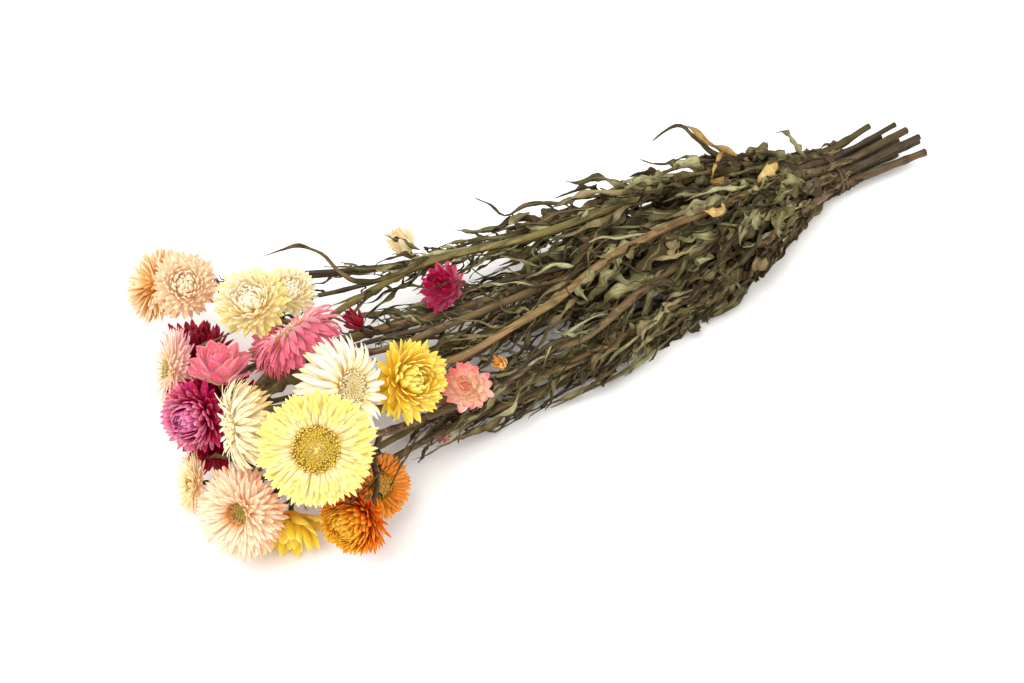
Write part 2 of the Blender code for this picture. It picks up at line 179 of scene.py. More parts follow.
def put(tree, kind, settings=(), **inputs):
    """Add a node; settings are its own choices, inputs are numbers or links from other nodes."""
    node = tree.nodes.new(kind)
    for key, value in dict(settings).items():
        setattr(node, key, value)
    for key, value in inputs.items():
        feed(tree, node.inputs[key.replace("_", " ")], value)
    return node


def reckon(tree, operation, a, b=0.0, c=0.0):
    """One sum of up to three numbers or links."""
    node = tree.nodes.new("ShaderNodeMath")
    node.operation = operation
    for socket, value in zip(node.inputs, (a, b, c)):
        feed(tree, socket, value)
    return node.outputs[0]


def fade(tree, value, start, end, low=0.0, high=1.0):
    """A soft step: low up to start, high from end on."""
    node = put(tree, "ShaderNodeMapRange", Value=value, From_Min=start, From_Max=end,
               To_Min=low, To_Max=high)
    return node.outputs[0]


def ramp(tree, value, stops):
    """A colour for a number from 0 to 1; stops are (place, colour as seen)."""
    node = put(tree, "ShaderNodeValToRGB", Fac=value)
    band = node.color_ramp
    while len(band.elements) < len(stops):
        band.elements.new(0.5)
    for element, (place, colour) in zip(band.elements, stops):
        element.position = place
        element.color = paint(colour)
    return node.outputs["Color"]


def blend(tree, share, first, second, mode="MIX"):
    """Mix two colours by a share from 0 to 1."""
    node = tree.nodes.new("ShaderNodeMix")
    node.data_type = "RGBA"
    node.blend_type = mode
    feed(tree, node.inputs[0], share)
    feed(tree, node.inputs[6], first)
    feed(tree, node.inputs[7], second)
    return node.outputs[2]


def shaded(tree, colour, shade):
    """A colour times a number, so darker below 1."""
    grey = put(tree, "ShaderNodeCombineColor", Red=shade, Green=shade, Blue=shade).outputs[0]
    return blend(tree, 1.0, colour, grey, "MULTIPLY")


def noise(tree, place, scale, detail=3.0, distortion=0.0):
    """Smooth noise from 0 to 1 at a place."""
    node = put(tree, "ShaderNodeTexNoise", Vector=place, Scale=scale, Detail=detail,
               Distortion=distortion)
    return node.outputs[0]


def attribute(tree, name):
    """One of the piece's own numbers, such as its row in the head."""
    return put(tree, "ShaderNodeAttribute", {"attribute_name": name}).outputs["Fac"]


def object_place(tree):
    """Where a point is on the object, in metres."""
    return put(tree, "ShaderNodeTexCoord").outputs["Object"]


def surface_place(tree):
    """Across and along the surface, from the piece's own UV map."""
    uv = put(tree, "ShaderNodeUVMap", {"uv_map": "UVMap"}).outputs[0]
    split = put(tree, "ShaderNodeSeparateXYZ", Vector=uv)
    return split.outputs[0], split.outputs[1]


def own_place(tree, across, along, chance, scales):
    """A place for noise across and along one leaf or bract; chance keeps neighbours apart."""
    x, y, z = (reckon(tree, "MULTIPLY", value, scale)
               for value, scale in zip((across, along, chance), scales))
    return put(tree, "ShaderNodeCombineXYZ", X=x, Y=y, Z=z).outputs[0]


def add_bump(tree, shader, height, strength, distance):
    """Raise the surface by a height from 0 to 1."""
    bump = put(tree, "ShaderNodeBump", Height=height, Strength=strength, Distance=distance)
    tree.links.new(bump.outputs[0], shader.inputs["Normal"])


floor_material, tree, shader = start_material("floor_paper", 0.9)
speckle = noise(tree, object_place(tree), 3.0)
white = ramp(tree, speckle, ((0.0, (250, 250, 250)), (1.0, (254, 254, 254))))
tree.links.new(white, shader.inputs["Base Color"])
floor_mesh.materials.append(floor_material)
print("floor finished")

# %% [markdown]
# ## Tools for shapes
# A bract, a leaf, a stem and a floret are all the same thing to a modeller: a closed
# ring of points carried along a path. So there is one way to carry a frame along
# many paths at once, one way to skin the rings, and one way to put points and
# faces into a mesh. Each works on whole arrays, thousands of rings at a time.

# %% Helpers for meshes
def unit(vectors):
    """Vectors with length one."""
    return vectors / np.maximum(np.linalg.norm(vectors, axis=-1, keepdims=True), 1e-9)


def round_angles(sides):
    """Evenly spaced angles, once round."""
    return np.linspace(0, 2 * math.pi, sides + 1)[:-1]


def twisted(across, up, angle):
    """Both directions turned by an angle about the line they stand on."""
    return (across * np.cos(angle) + up * np.sin(angle),
            up * np.cos(angle) - across * np.sin(angle))


def to_world(points):
    """Layout millimetres to metres in the frame."""
    return (np.asarray(points, float) + BUNCH_PLACE) * MM


def smooth_route(points, step):
    """A rounded path through given points: a cubic between each pair, whose
    slope at a point is the line between that point's two neighbours."""
    points = np.asarray(points, float)
    padded = np.vstack((2 * points[0] - points[1], points, 2 * points[-1] - points[-2]))
    pieces = [points[:1]]
    for before, start, end, after in zip(padded, padded[1:], padded[2:], padded[3:]):
        reach = np.linalg.norm(end - start)
        leaving = (end - before) * (reach / max(np.linalg.norm(end - before), 1e-6))
        arriving = (after - start) * (reach / max(np.linalg.norm(after - start), 1e-6))
        count = max(1, round(reach / step))
        t = np.arange(1, count + 1)[:, None] / count
        pieces.append(start * (2 * t**3 - 3 * t**2 + 1) + leaving * (t**3 - 2 * t**2 + t)
                      + end * (3 * t**2 - 2 * t**3) + arriving * (t**3 - t**2))
    return np.vstack(pieces)


def carry_frames(paths, side):
    """Directions ahead, across and up at every point of many paths, without twisting:
    at each point the last across loses its part along the path."""
    ahead = unit(np.gradient(paths, axis=1))
    across = np.empty_like(paths)
    current = np.broadcast_to(np.asarray(side, float), paths[:, 0].shape)
    for k in range(paths.shape[1]):
        lengthwise = (current * ahead[:, k]).sum(-1, keepdims=True)
        current = unit(current - ahead[:, k] * lengthwise)
        across[:, k] = current
    return ahead, across, np.cross(ahead, across)


def ring_points(paths, across, up, wide, high):
    """Points of every ring: its middle, plus wide across and high up."""
    return (paths[:, :, None] + across[:, :, None] * wide[..., None]
            + up[:, :, None] * high[..., None])


def skin(points, **numbers):
    """A closed skin over rings: points are (paths, rings, sides, 3). Faces run from
    ring to ring, and a cap closes each end. numbers are kept at every point."""
    paths, rings, sides = points.shape[:3]
    grid = np.arange(paths * rings * sides).reshape(paths, rings, sides)
    beside = np.roll(grid, -1, axis=2)
    walls = np.stack((grid[:, :-1], beside[:, :-1], beside[:, 1:], grid[:, 1:]), -1).reshape(-1, 4)
    caps = np.concatenate((grid[:, 0, ::-1], grid[:, -1]))
    spread = {key: np.broadcast_to(value, (paths, rings, sides)).ravel()
              for key, value in numbers.items()}
    return {"points": points.reshape(-1, 3), "faces": [walls, caps], "numbers": spread}


def make_piece(name, skins, material, nodes=()):
    """Join skins into one mesh object, in metres, with its numbers and UV map."""
    corners, sizes, first = [], [], 0
    for part in skins:
        for faces in part["faces"]:
            corners.append((faces + first).ravel())
            sizes.append(np.full(len(faces), faces.shape[1]))
        first += len(part["points"])
    points = np.concatenate([part["points"] for part in skins])
    corners = np.concatenate(corners).astype(np.int32)
    sizes = np.concatenate(sizes)
    mesh = bpy.data.meshes.new(name)
    mesh.vertices.add(len(points))
    mesh.vertices.foreach_set("co", points.astype(np.float32).ravel())
    mesh.loops.add(len(corners))
    mesh.loops.foreach_set("vertex_index", corners)
    mesh.polygons.add(len(sizes))
    mesh.polygons.foreach_set("loop_start", (np.cumsum(sizes) - sizes).astype(np.int32))
    mesh.polygons.foreach_set("use_smooth", np.ones(len(sizes), bool))
    numbers = {key: np.concatenate([part["numbers"][key] for part in skins])
               for key in skins[0]["numbers"]}
    uv = np.stack((numbers.pop("u"), numbers.pop("v")), -1)
    mesh.uv_layers.new(name="UVMap").data.foreach_set("uv", uv[corners].astype(np.float32).ravel())
    for key, values in numbers.items():
        stored = mesh.attributes.new(key, "FLOAT", "POINT")
        stored.data.foreach_set("value", values.astype(np.float32))
    mesh.update(calc_edges=True)
    mesh.materials.append(material)
    piece = bpy.data.objects.new(name, mesh)
    bpy.context.scene.collection.objects.link(piece)
    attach(piece, "root")
    if nodes:
        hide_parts(*nodes)
    return piece


def above_floor(points):
    """Lift what would reach below the table: it lies flat on it instead."""
    lifted = points.copy()
    low = FLOOR_CLEARANCE * MM
    z = points[..., 2]
    lifted[..., 2] = np.where(z < 2 * low, low + low * np.exp(np.minimum(z / low - 2, 0)), z)
    return lifted


print("tools ready")

# %% [markdown]
# ## Where every head and stem is
# The layout is the one the imported model was built to, in millimetres. A head has
# its middle, its diameter, the way it faces, one of five habits, and the imported
# model's finish slot, which the loop below doesn't read: a head's paper is made from its
# own tones. A stem has its cut end, its route to the head, and its side shoots.

# %% Layout of the heads
HEADS = {
    "apricot_old": ((-213, 92, 62), 43, (-0.66, 0.17, 0.73), "reflexed", "bracts_apricot"),
    "peach_pompon": ((-206, 61, 87), 36, (-0.13, -0.55, 0.83), "incurved", "bracts_peach"),
    "cream_double": ((-181, 33, 88), 39, (-0.33, -0.27, 0.91), "incurved", "bracts_cream"),
    "cream_second": ((-152, 47, 69), 30, (0.14, -0.42, 0.90), "incurved", "bracts_cream"),
    "pink_reflexed": ((-173, -11, 96), 43, (-0.20, 0.77, 0.60), "reflexed", "bracts_pink"),
    "blush_left": ((-233, 35, 58), 41, (-0.91, 0.24, 0.34), "open", "bracts_blush"),
    "wine_back": ((-209, 51, 50), 32, (0.13, 0.47, 0.87), "cup", "bracts_wine"),
    "coral_cup": ((-211, 2, 84), 34, (0.21, 0.28, 0.94), "cup", "bracts_coral"),
    "magenta_pompon": ((-236, -14, 70), 39, (-0.81, -0.40, 0.44), "incurved", "bracts_magenta"),
    "wine_middle": ((-219, -1, 48), 34, (-0.45, -0.60, 0.67), "cup", "bracts_wine"),
    "cream_swept": ((-219, -44, 88), 41, (-0.96, 0.21, 0.16), "reflexed", "bracts_straw"),
    "ivory_swept": ((-165, -53, 94), 43, (0.50, -0.74, 0.45), "reflexed", "bracts_ivory"),
    "lemon_large": ((-196, -86, 100), 55, (-0.33, -0.65, 0.69), "open", "bracts_lemon"),
    "yellow_side": ((-126, -51, 77), 41, (0.25, -0.72, 0.65), "incurved", "bracts_yellow"),
    "rose_small": ((-99, -57, 63), 28, (-0.40, -0.40, 0.83), "cup", "bracts_coral"),
    "magenta_small": ((-76, 15, 62), 27, (-0.57, -0.20, 0.80), "cup", "bracts_magenta"),
    "ruby_bud": ((-129, 16, 60), 10, (-0.47, 0.48, 0.74), "bud", "bracts_magenta"),
    "cream_bud": ((-76, 66, 52), 15, (-0.41, 0.37, 0.83), "bud", "bracts_cream"),
    "straw_bud": ((-73, -46, 56), 8, (-0.66, 0.08, 0.74), "bud", "bracts_straw"),
    "rose_tiny_bud": ((-106, -40, 8), 8, (-0.86, -0.43, -0.27), "bud", "bracts_coral"),
    "peach_large": ((-234, -62, 44), 49, (-0.68, -0.49, 0.54), "open", "bracts_peach"),
    "straw_low": ((-246, -20, 30), 32, (-0.93, 0.19, 0.32), "open", "bracts_straw"),
    "yellow_cup": ((-208, -65, 16), 32, (-0.42, -0.81, -0.41), "cup", "bracts_yellow"),
    "orange_large": ((-187, -95, 44), 43, (-0.89, -0.41, 0.20), "incurved", "bracts_orange"),
    "orange_side": ((-158, -75, 35), 34, (0.27, -0.72, 0.63), "open", "bracts_amber"),
    "wine_low": ((-163, -71, 12), 24, (0.01, -0.95, -0.32), "cup", "bracts_wine"),
    "back_rose": ((-167, 61, 17), 34, (-0.57, 0.82, -0.05), "cup", "bracts_coral"),
    "back_gold": ((-215, 57, 17), 34, (-0.84, 0.47, -0.26), "cup", "bracts_amber"),
    "under_cream": ((-223, 9, 16), 32, (-0.98, 0.10, -0.15), "cup", "bracts_cream"),
    "under_wine": ((-183, -17, 16), 32, (-0.97, -0.10, -0.20), "cup", "bracts_wine"),
}
print("heads:", len(HEADS))

# %% Layout of the stems
STEM_RADIUS = 3.1
NECK_RADIUS = 1.7
SHOOT_RADIUS = 1.9
BUD_NECK_RADIUS = 1.0
TIE_X = 203.0
TIE_WIDTH = 8.0
TIE_WALL = 1.4
TIE_MIDDLE_Y = 29.0
STEM_SPACING = 6.9
ROW_SPACING = 5.9
GAP = 0.35
TIE_SLOTS = {
    "stem_thick": (-1.5, 2), "stem_tan": (-0.5, 2), "stem_brown": (0.5, 2), "stem_olive": (1.5, 2),
    "stem_thin": (-2.0, 1), "stem_magenta": (-1.0, 1), "stem_rose": (0.0, 1), "stem_back": (1.0, 1),
    "stem_bottom": (-1.5, 0), "stem_low_front": (-0.5, 0),
    "stem_low_middle": (0.5, 0), "stem_low_back": (1.5, 0),
}
STEMS = {
    "stem_olive": dict(
        cut=(243, 43, 21), slot="stem_olive_bark", head="cream_double",
        route=((170, 37, 28), (106, 33, 48), (59, 26, 58), (26, 22, 62), (-15, 24, 62),
               (-73, 36, 60), (-122, 33, 56), (-150, 26, 58)),
        shoots=((5, ((-110, 47, 50),), "cream_second"),)),
    "stem_brown": dict(
        cut=(259, 37, 20), slot="stem_brown_bark", head="pink_reflexed",
        route=((150, 22, 33), (100, 14, 42), (55, 8, 44), (16, -2, 50), (-14, -8, 55),
               (-41, -10, 58), (-84, -14, 63), (-125, -21, 72)),
        shoots=((6, ((-130, -7, 66), (-175, -1, 62)), "coral_cup"),
                (3, ((-20, 11, 46),), "magenta_small"),
                (5, ((-80, 3, 50),), "ruby_bud"))),
    "stem_tan": dict(
        cut=(263, 30, 19), slot="stem_tan_bark", head="ivory_swept",
        route=((150, 12, 41), (100, 1, 53), (59, -1, 55), (9, -13, 61), (-25, -25, 62),
               (-57, -32, 63), (-95, -35, 60), (-130, -29, 64)),
        shoots=((6, (), "yellow_side"),)),
    "stem_thick": dict(
        cut=(266, 21, 19), slot="stem_brown_bark", head="lemon_large",
        route=((150, 2, 38), (100, -13, 46), (28, -27, 42), (-14, -42, 44), (-45, -44, 45),
               (-75, -48, 40), (-110, -47, 38), (-150, -58, 55)),
        shoots=((4, (), "rose_small"),
                (3, ((-40, -44, 52),), "straw_bud"),
                (7, ((-160, -70, 54),), "orange_large"))),
    "stem_thin": dict(
        cut=(267, 14, 11), slot="stem_tan_bark", head="cream_swept",
        route=((150, -6, 24), (100, -22, 28), (30, -36, 26), (-31, -43, 27), (-75, -42, 29),
               (-110, -36, 34), (-145, -34, 46), (-180, -38, 66)),
        shoots=()),
    "stem_magenta": dict(
        cut=(269, 23, 12), slot="stem_olive_bark", head="magenta_pompon",
        route=((150, 8, 18), (100, 0, 26), (50, -4, 30), (0, -8, 34), (-50, -10, 38),
               (-100, -12, 42), (-150, -16, 48), (-188, -16, 54)),
        shoots=((5, ((-150, 2, 32), (-180, 9, 30)), "wine_middle"),)),
    "stem_rose": dict(
        cut=(258, 31, 12), slot="stem_tan_bark", head="blush_left",
        route=((150, 20, 20), (100, 20, 26), (50, 16, 32), (0, 13, 36), (-50, 13, 38),
               (-100, 18, 40), (-150, 24, 44), (-185, 29, 50)),
        shoots=((6, ((-180, 35, 34),), "wine_back"),)),
    "stem_back": dict(
        cut=(250, 38, 12), slot="stem_brown_bark", head="apricot_old",
        route=((150, 37, 19), (100, 42, 30), (50, 46, 36), (0, 48, 40), (-50, 50, 42),
               (-100, 60, 46), (-150, 77, 48)),
        shoots=((5, ((-150, 69, 58),), "peach_pompon"),
                (3, ((-35, 56, 40),), "cream_bud"))),
    "stem_low_back": dict(
        cut=(240, 43, 5), slot="stem_olive_bark", head="back_gold",
        route=((150, 42, 5), (100, 45, 5), (50, 46, 6), (0, 46, 8), (-50, 46, 10),
               (-100, 43, 14), (-150, 40, 19), (-170, 43, 21)),
        shoots=((5, ((-130, 42, 20),), "back_rose"),)),
    "stem_low_middle": dict(
        cut=(252, 35, 4), slot="stem_tan_bark", head="under_cream",
        route=((150, 26, 4), (100, 20, 4), (50, 16, 5), (0, 14, 6), (-50, 12, 8),
               (-100, 10, 12), (-150, 8, 17)),
        shoots=((5, ((-130, -6, 18),), "under_wine"),)),
    "stem_low_front": dict(
        cut=(256, 27, 4), slot="stem_olive_bark", head="peach_large",
        route=((150, 10, 4), (100, -4, 4), (50, -14, 4), (0, -20, 4), (-50, -22, 5),
               (-100, -24, 6), (-140, -31, 9), (-170, -40, 17), (-194, -43, 28)),
        shoots=((7, (), "yellow_cup"),
                (8, ((-210, -32, 26),), "straw_low"))),
    "stem_bottom": dict(
        cut=(258, 19, 4), slot="stem_brown_bark", head="orange_side",
        route=((150, -4, 4), (100, -22, 4), (50, -33, 5), (-4, -40, 9), (-68, -41, 13),
               (-112, -44, 16), (-138, -51, 20)),
        shoots=((5, ((-135, -46, 16),), "wine_low"),
                (4, ((-84, -37, 11),), "rose_tiny_bud"))),
}
print("stems:", len(STEMS), "side shoots:", sum(len(stem["shoots"]) for stem in STEMS.values()))

# %% [markdown]
# ## How a head grows
# A strawflower's "petals" are bracts: dry scales that grow from a small cushion,
# the receptacle. Each new bract sits about 137.5 degrees round from the last, the
# golden angle, so no two lie in line. The oldest are outside and lean back, the
# youngest stand round the disc. What makes one head open and another a pompon is
# only how the bracts' angle and length change from the outside to the inside, so
# each habit is a short table of five or six rows.

# %% Habits of the heads
GOLDEN_ANGLE = math.radians(137.508)
# Share of the way in; base radius and height; angle from the head's axis at the
# bract's base and at its tip, in degrees; length and half width. Sizes are in
# diameters of the head.
HABITS = {
    "open": ((0.00, 0.08, 0.02, 96, 84, 0.42, 0.034), (0.25, 0.11, 0.05, 84, 76, 0.42, 0.034),
             (0.55, 0.14, 0.09, 72, 72, 0.38, 0.032), (0.80, 0.17, 0.12, 58, 66, 0.31, 0.028),
             (1.00, 0.20, 0.14, 30, 52, 0.16, 0.020)),
    "incurved": ((0.00, 0.08, 0.04, 100, 75, 0.40, 0.040), (0.20, 0.11, 0.09, 85, 50, 0.40, 0.042),
                 (0.40, 0.13, 0.14, 66, 14, 0.38, 0.042), (0.60, 0.13, 0.19, 50, -14, 0.34, 0.040),
                 (0.80, 0.10, 0.24, 34, -38, 0.28, 0.036), (1.00, 0.04, 0.28, 14, -50, 0.18, 0.028)),
    "reflexed": ((0.00, 0.08, 0.12, 100, 156, 0.45, 0.038), (0.30, 0.12, 0.16, 92, 150, 0.46, 0.038),
                 (0.60, 0.17, 0.22, 80, 142, 0.44, 0.034), (0.85, 0.21, 0.27, 62, 130, 0.38, 0.028),
                 (1.00, 0.23, 0.29, 16, 50, 0.10, 0.016)),
    "mane": ((0.00, 0.08, 0.12, 104, 92, 0.42, 0.032), (0.30, 0.11, 0.15, 92, 84, 0.42, 0.032),
             (0.60, 0.14, 0.19, 78, 76, 0.38, 0.031), (0.85, 0.12, 0.22, 60, 60, 0.34, 0.028),
             (1.00, 0.03, 0.24, 24, 30, 0.26, 0.024)),
    "well": ((0.00, 0.08, 0.02, 98, 84, 0.42, 0.034), (0.25, 0.10, 0.06, 84, 74, 0.41, 0.034),
             (0.50, 0.11, 0.10, 70, 62, 0.38, 0.032), (0.75, 0.115, 0.14, 50, 48, 0.33, 0.028),
             (1.00, 0.115, 0.17, 18, 34, 0.20, 0.022)),
    "cup": ((0.00, 0.07, 0.03, 84, 50, 0.40, 0.075), (0.25, 0.09, 0.05, 70, 26, 0.47, 0.085),
            (0.50, 0.10, 0.07, 56, 6, 0.48, 0.085), (0.75, 0.08, 0.09, 40, -14, 0.44, 0.075),
            (1.00, 0.03, 0.12, 14, -26, 0.34, 0.055)),
    "bud": ((0.00, 0.10, 0.02, 70, 16, 0.55, 0.130), (0.25, 0.12, 0.06, 60, -6, 0.90, 0.160),
            (0.50, 0.10, 0.12, 44, -14, 1.05, 0.160), (0.75, 0.06, 0.20, 26, -12, 1.00, 0.140),
            (1.00, 0.02, 0.28, 8, -8, 0.88, 0.110)),
}
# Height of the head's middle over the zero of its habit, in diameters
HEAD_MIDDLE = {"open": 0.20, "incurved": 0.30, "reflexed": 0.18, "cup": 0.34, "bud": 0.60}
SEAT_HEIGHT = {"open": 0.0, "incurved": 0.0, "reflexed": 0.10, "cup": 0.0, "bud": 0.0}
BRACT_COUNT = {"open": 240, "incurved": 230, "reflexed": 230, "cup": 64, "bud": 26}
# How far a bract's edges rise, as a share of its half width
SPOON = {"open": 0.10, "incurved": 0.35, "reflexed": 0.15, "mane": 0.10, "well": 0.15,
         "cup": 0.45, "bud": 0.60}
AXIS = np.array((0, 0, 1.0))


def head_axes(name):
    """The head's zero point in mm, and its axes: two sideways, the third the way it faces."""
    middle, diameter, facing, habit, _ = HEADS[name]
    facing = unit(np.array(facing, float))
    zero = np.array(middle) - facing * (HEAD_MIDDLE[habit] * diameter)
    sideways = unit(np.cross(facing, (0.31, 0.17, -0.93)))
    return zero, np.stack((sideways, np.cross(facing, sideways), facing))


def head_to_world(name, local):
    """Points in diameters of a head, along its own axes, to metres in the frame."""
    diameter = HEADS[name][1]
    zero, axes = head_axes(name)
    return above_floor(to_world(zero + diameter * local @ axes))


def turned(name, profile, sides, **numbers):
    """A turned form on a head's axis; its profile is out and up, in diameters."""
    angle = round_angles(sides)
    out = profile[:, :1]
    high = np.broadcast_to(profile[:, 1:], (len(profile), sides))
    local = np.stack((out * np.cos(angle), out * np.sin(angle), high), -1)[None]
    return skin(head_to_world(name, local), **numbers)


print("habits:", ", ".join(HABITS))

# %% [markdown]
# ## One bract, a hundred times
# A bract is a lens-shaped ring carried along a bent line. It has a narrow claw, is
# widest past the middle and ends in a point, and its edges rise a little like a
# spoon. The line bends evenly from its first angle to its last. All bracts of a
# head are worked out together: the first axis of every array counts bracts.

# %% Build bracts
BRACT_STATIONS = np.array((0.0, 0.2, 0.42, 0.62, 0.80, 0.92, 1.0))
BRACT_OUTLINE = np.array((0.50, 0.74, 0.95, 1.0, 0.80, 0.48, 0.06))
BRACT_ROUND = round_angles(6)
BRACT_THICKNESS = 0.16


def running_sum(steps):
    """Steps added up along each row, from zero."""
    return np.cumsum(np.pad(steps, ((0, 0), (1, 0))), 1)


def grow_bracts(name, rng, habit, count, wide=1.0, spread=1.0, opening=0.0, reach=1.0):
    """Bracts of one head as a skin. At share s of its length a bract's angle is
    start + (end - start) * s; its middle line adds up sine of that angle outwards
    and cosine of it forwards. Width, spoon and twist are laid across that line."""
    order = np.arange(count)
    row = order / (count - 1)
    rows = np.array(HABITS[habit])
    base_out, base_up, first, last, length, half = (
        np.interp(row, rows[:, 0], rows[:, k]) for k in range(1, 7))
    around = order * GOLDEN_ANGLE + rng.normal(0, 0.05, count)
    lumps = (np.sin(2 * around + rng.uniform(0, 6)) * 0.6
             + np.sin(3 * around + rng.uniform(0, 6)) * 0.4)
    first = np.radians(first + opening + (rng.normal(0, 4, count) + 4 * lumps) * spread)
    last = np.radians(last + opening + (rng.normal(0, 9, count) + 7 * lumps) * spread)
    length = length * reach * rng.normal(1, 0.045, count) * (1 + 0.04 * lumps)
    half = half * wide * rng.uniform(0.85, 1.15, count)

    s = BRACT_STATIONS
    angle = first[:, None] + (last - first)[:, None] * s
    steps = np.diff(s) * length[:, None]
    middle_angle = (angle[:, 1:] + angle[:, :-1]) / 2
    out = base_out[:, None] + running_sum(np.sin(middle_angle) * steps)
    forward = base_up[:, None] + running_sum(np.cos(middle_angle) * steps)
    lean = rng.normal(0, 0.05, count)[:, None] * length[:, None] * s**2
    radial = np.stack((np.cos(around), np.sin(around), 0 * around), -1)[:, None]
    tangent = np.stack((-np.sin(around), np.cos(around), 0 * around), -1)[:, None]
    line = out[..., None] * radial + forward[..., None] * AXIS + lean[..., None] * tangent
    ahead = np.sin(angle)[..., None] * radial + np.cos(angle)[..., None] * AXIS
    inner = np.cross(ahead, np.broadcast_to(tangent, ahead.shape))
    twist = (rng.normal(0, 0.22, count)[:, None] * (0.3 + s))[..., None]
    across, inner = twisted(tangent, inner, twist)

    sway = half[:, None] * BRACT_OUTLINE
    wide_at = sway[..., None] * np.cos(BRACT_ROUND)
    spoon = SPOON[habit] * rng.normal(1, 0.35, count)[:, None, None]
    rise_at = spoon * sway[..., None] * np.cos(BRACT_ROUND)**2
    diameter = HEADS[name][1]
    high_at = (BRACT_THICKNESS / diameter) * np.sin(BRACT_ROUND) + rise_at
    points = head_to_world(name, ring_points(line, across, inner, wide_at, high_at))
    return skin(points, u=0.5 + 0.5 * np.cos(BRACT_ROUND), v=s[None, :, None],
                row=row[:, None, None], chance=rng.random(count)[:, None, None])


RECEPTACLE = np.array(((0.02, 0.0), (0.10, 0.01), (0.155, 0.05), (0.16, 0.10), (0.12, 0.15),
                       (0.02, 0.17)))


def receptacle(name, size=1.0):
    """The cushion the bracts grow from: a turned profile, closed at both ends."""
    habit = HEADS[name][3]
    profile = RECEPTACLE * size + (0.0, SEAT_HEIGHT[habit])
    return turned(name, profile, 14, u=0.5, v=0.02, row=0.5, chance=0.5)


print("a bract has", (len(BRACT_STATIONS) - 1) * len(BRACT_ROUND) + 2, "faces")

# %% [markdown]
# ## The finish of a bract
# A dry bract is silky paper. Its colour runs from a pale base to a stronger tip,
# and the outer rows are often another colour than the inner ones. Fine veins run
# lengthwise and catch the light. So the colour is read from the bract's own UV map
# (along it) and from two numbers stored at every point: its row in the head, and a
# chance number that makes each bract a little different from its neighbour.

# %% Bract paper
TONES = {
    "white": (250, 246, 232), "ivory": (248, 240, 212), "cream": (249, 237, 188),
    "butter": (249, 226, 126), "lemon": (247, 230, 118), "yellow": (250, 212, 56),
    "gold": (228, 165, 30), "amber": (232, 130, 28), "orange": (235, 95, 15),
    "flame": (214, 60, 10), "rust": (160, 62, 20), "apricot": (238, 180, 105),
    "ochre": (214, 150, 60), "shell": (250, 222, 196), "peach": (244, 190, 152),
    "salmon": (238, 158, 130), "blush": (248, 214, 208), "coral": (232, 96, 104),
    "rose": (226, 82, 122), "pink": (240, 140, 170), "crimson": (150, 8, 40),
    "magenta": (196, 20, 92), "lilac": (226, 120, 180), "maroon": (96, 6, 26),
    "plum": (128, 44, 84), "straw": (242, 220, 172), "tan": (206, 166, 104),
}
# For each head: inner bracts at base, middle and tip, then outer bracts at middle and tip.
# The butter, cream and peach bases of the pale heads are painted warm shade, deeper than their paper.
HEAD_TONES = {
    "apricot_old": ("ochre", "apricot", "shell", "ochre", "apricot"),
    "peach_pompon": ("peach", "shell", "ivory", "shell", "salmon"),
    "cream_double": ("butter", "cream", "white", "cream", "butter"),
    "cream_second": ("butter", "cream", "white", "cream", "cream"),
    "pink_reflexed": ("blush", "pink", "rose", "pink", "rose"),
    "blush_left": ("shell", "blush", "blush", "blush", "pink"),
    "wine_back": ("crimson", "crimson", "maroon", "crimson", "maroon"),
    "coral_cup": ("white", "pink", "rose", "pink", "magenta"),
    "magenta_pompon": ("crimson", "magenta", "lilac", "crimson", "magenta"),
    "wine_middle": ("maroon", "crimson", "maroon", "maroon", "crimson"),
    "cream_swept": ("white", "ivory", "straw", "straw", "tan"),
    "ivory_swept": ("cream", "ivory", "white", "ivory", "straw"),
    "lemon_large": ("butter", "cream", "lemon", "cream", "butter"),
    "yellow_side": ("yellow", "yellow", "lemon", "yellow", "yellow"),
    "rose_small": ("white", "shell", "coral", "blush", "rose"),
    "magenta_small": ("lilac", "magenta", "crimson", "lilac", "magenta"),
    "ruby_bud": ("crimson", "crimson", "maroon", "crimson", "maroon"),
    "cream_bud": ("white", "cream", "peach", "cream", "shell"),
    "straw_bud": ("tan", "apricot", "amber", "tan", "ochre"),
    "rose_tiny_bud": ("blush", "pink", "plum", "pink", "plum"),
    "peach_large": ("peach", "shell", "shell", "peach", "salmon"),
    "straw_low": ("shell", "cream", "shell", "shell", "peach"),
    "yellow_cup": ("gold", "yellow", "yellow", "gold", "yellow"),
    "orange_large": ("flame", "orange", "gold", "orange", "flame"),
    "orange_side": ("gold", "amber", "amber", "orange", "rust"),
    "wine_low": ("maroon", "crimson", "maroon", "maroon", "maroon"),
    "back_rose": ("white", "pink", "rose", "rose", "crimson"),
    "back_gold": ("gold", "amber", "orange", "amber", "rust"),
    "under_cream": ("white", "cream", "cream", "cream", "straw"),
    "under_wine": ("crimson", "crimson", "maroon", "crimson", "maroon"),
}


# Painted glow: the paper gives off light of its own colour, as a share of full brightness,
# standing in for light that passes through it and lightening its shade; coloured paper
# glows less, by the square of its lightness
PAINTED_PAPER_GLOW = 0.15
WHITE = (255, 255, 255)
# Veins are warmer than the paper between them; painted warm shade tints the bracts' bases deep in the
# head
VEIN_WARMTH = ((0.30, (234, 214, 180)), (0.46, (252, 246, 236)), (0.60, WHITE))
PAINTED_DEPTH_SHADE = ((0.0, (255, 226, 176)), (0.5, (255, 252, 246)))


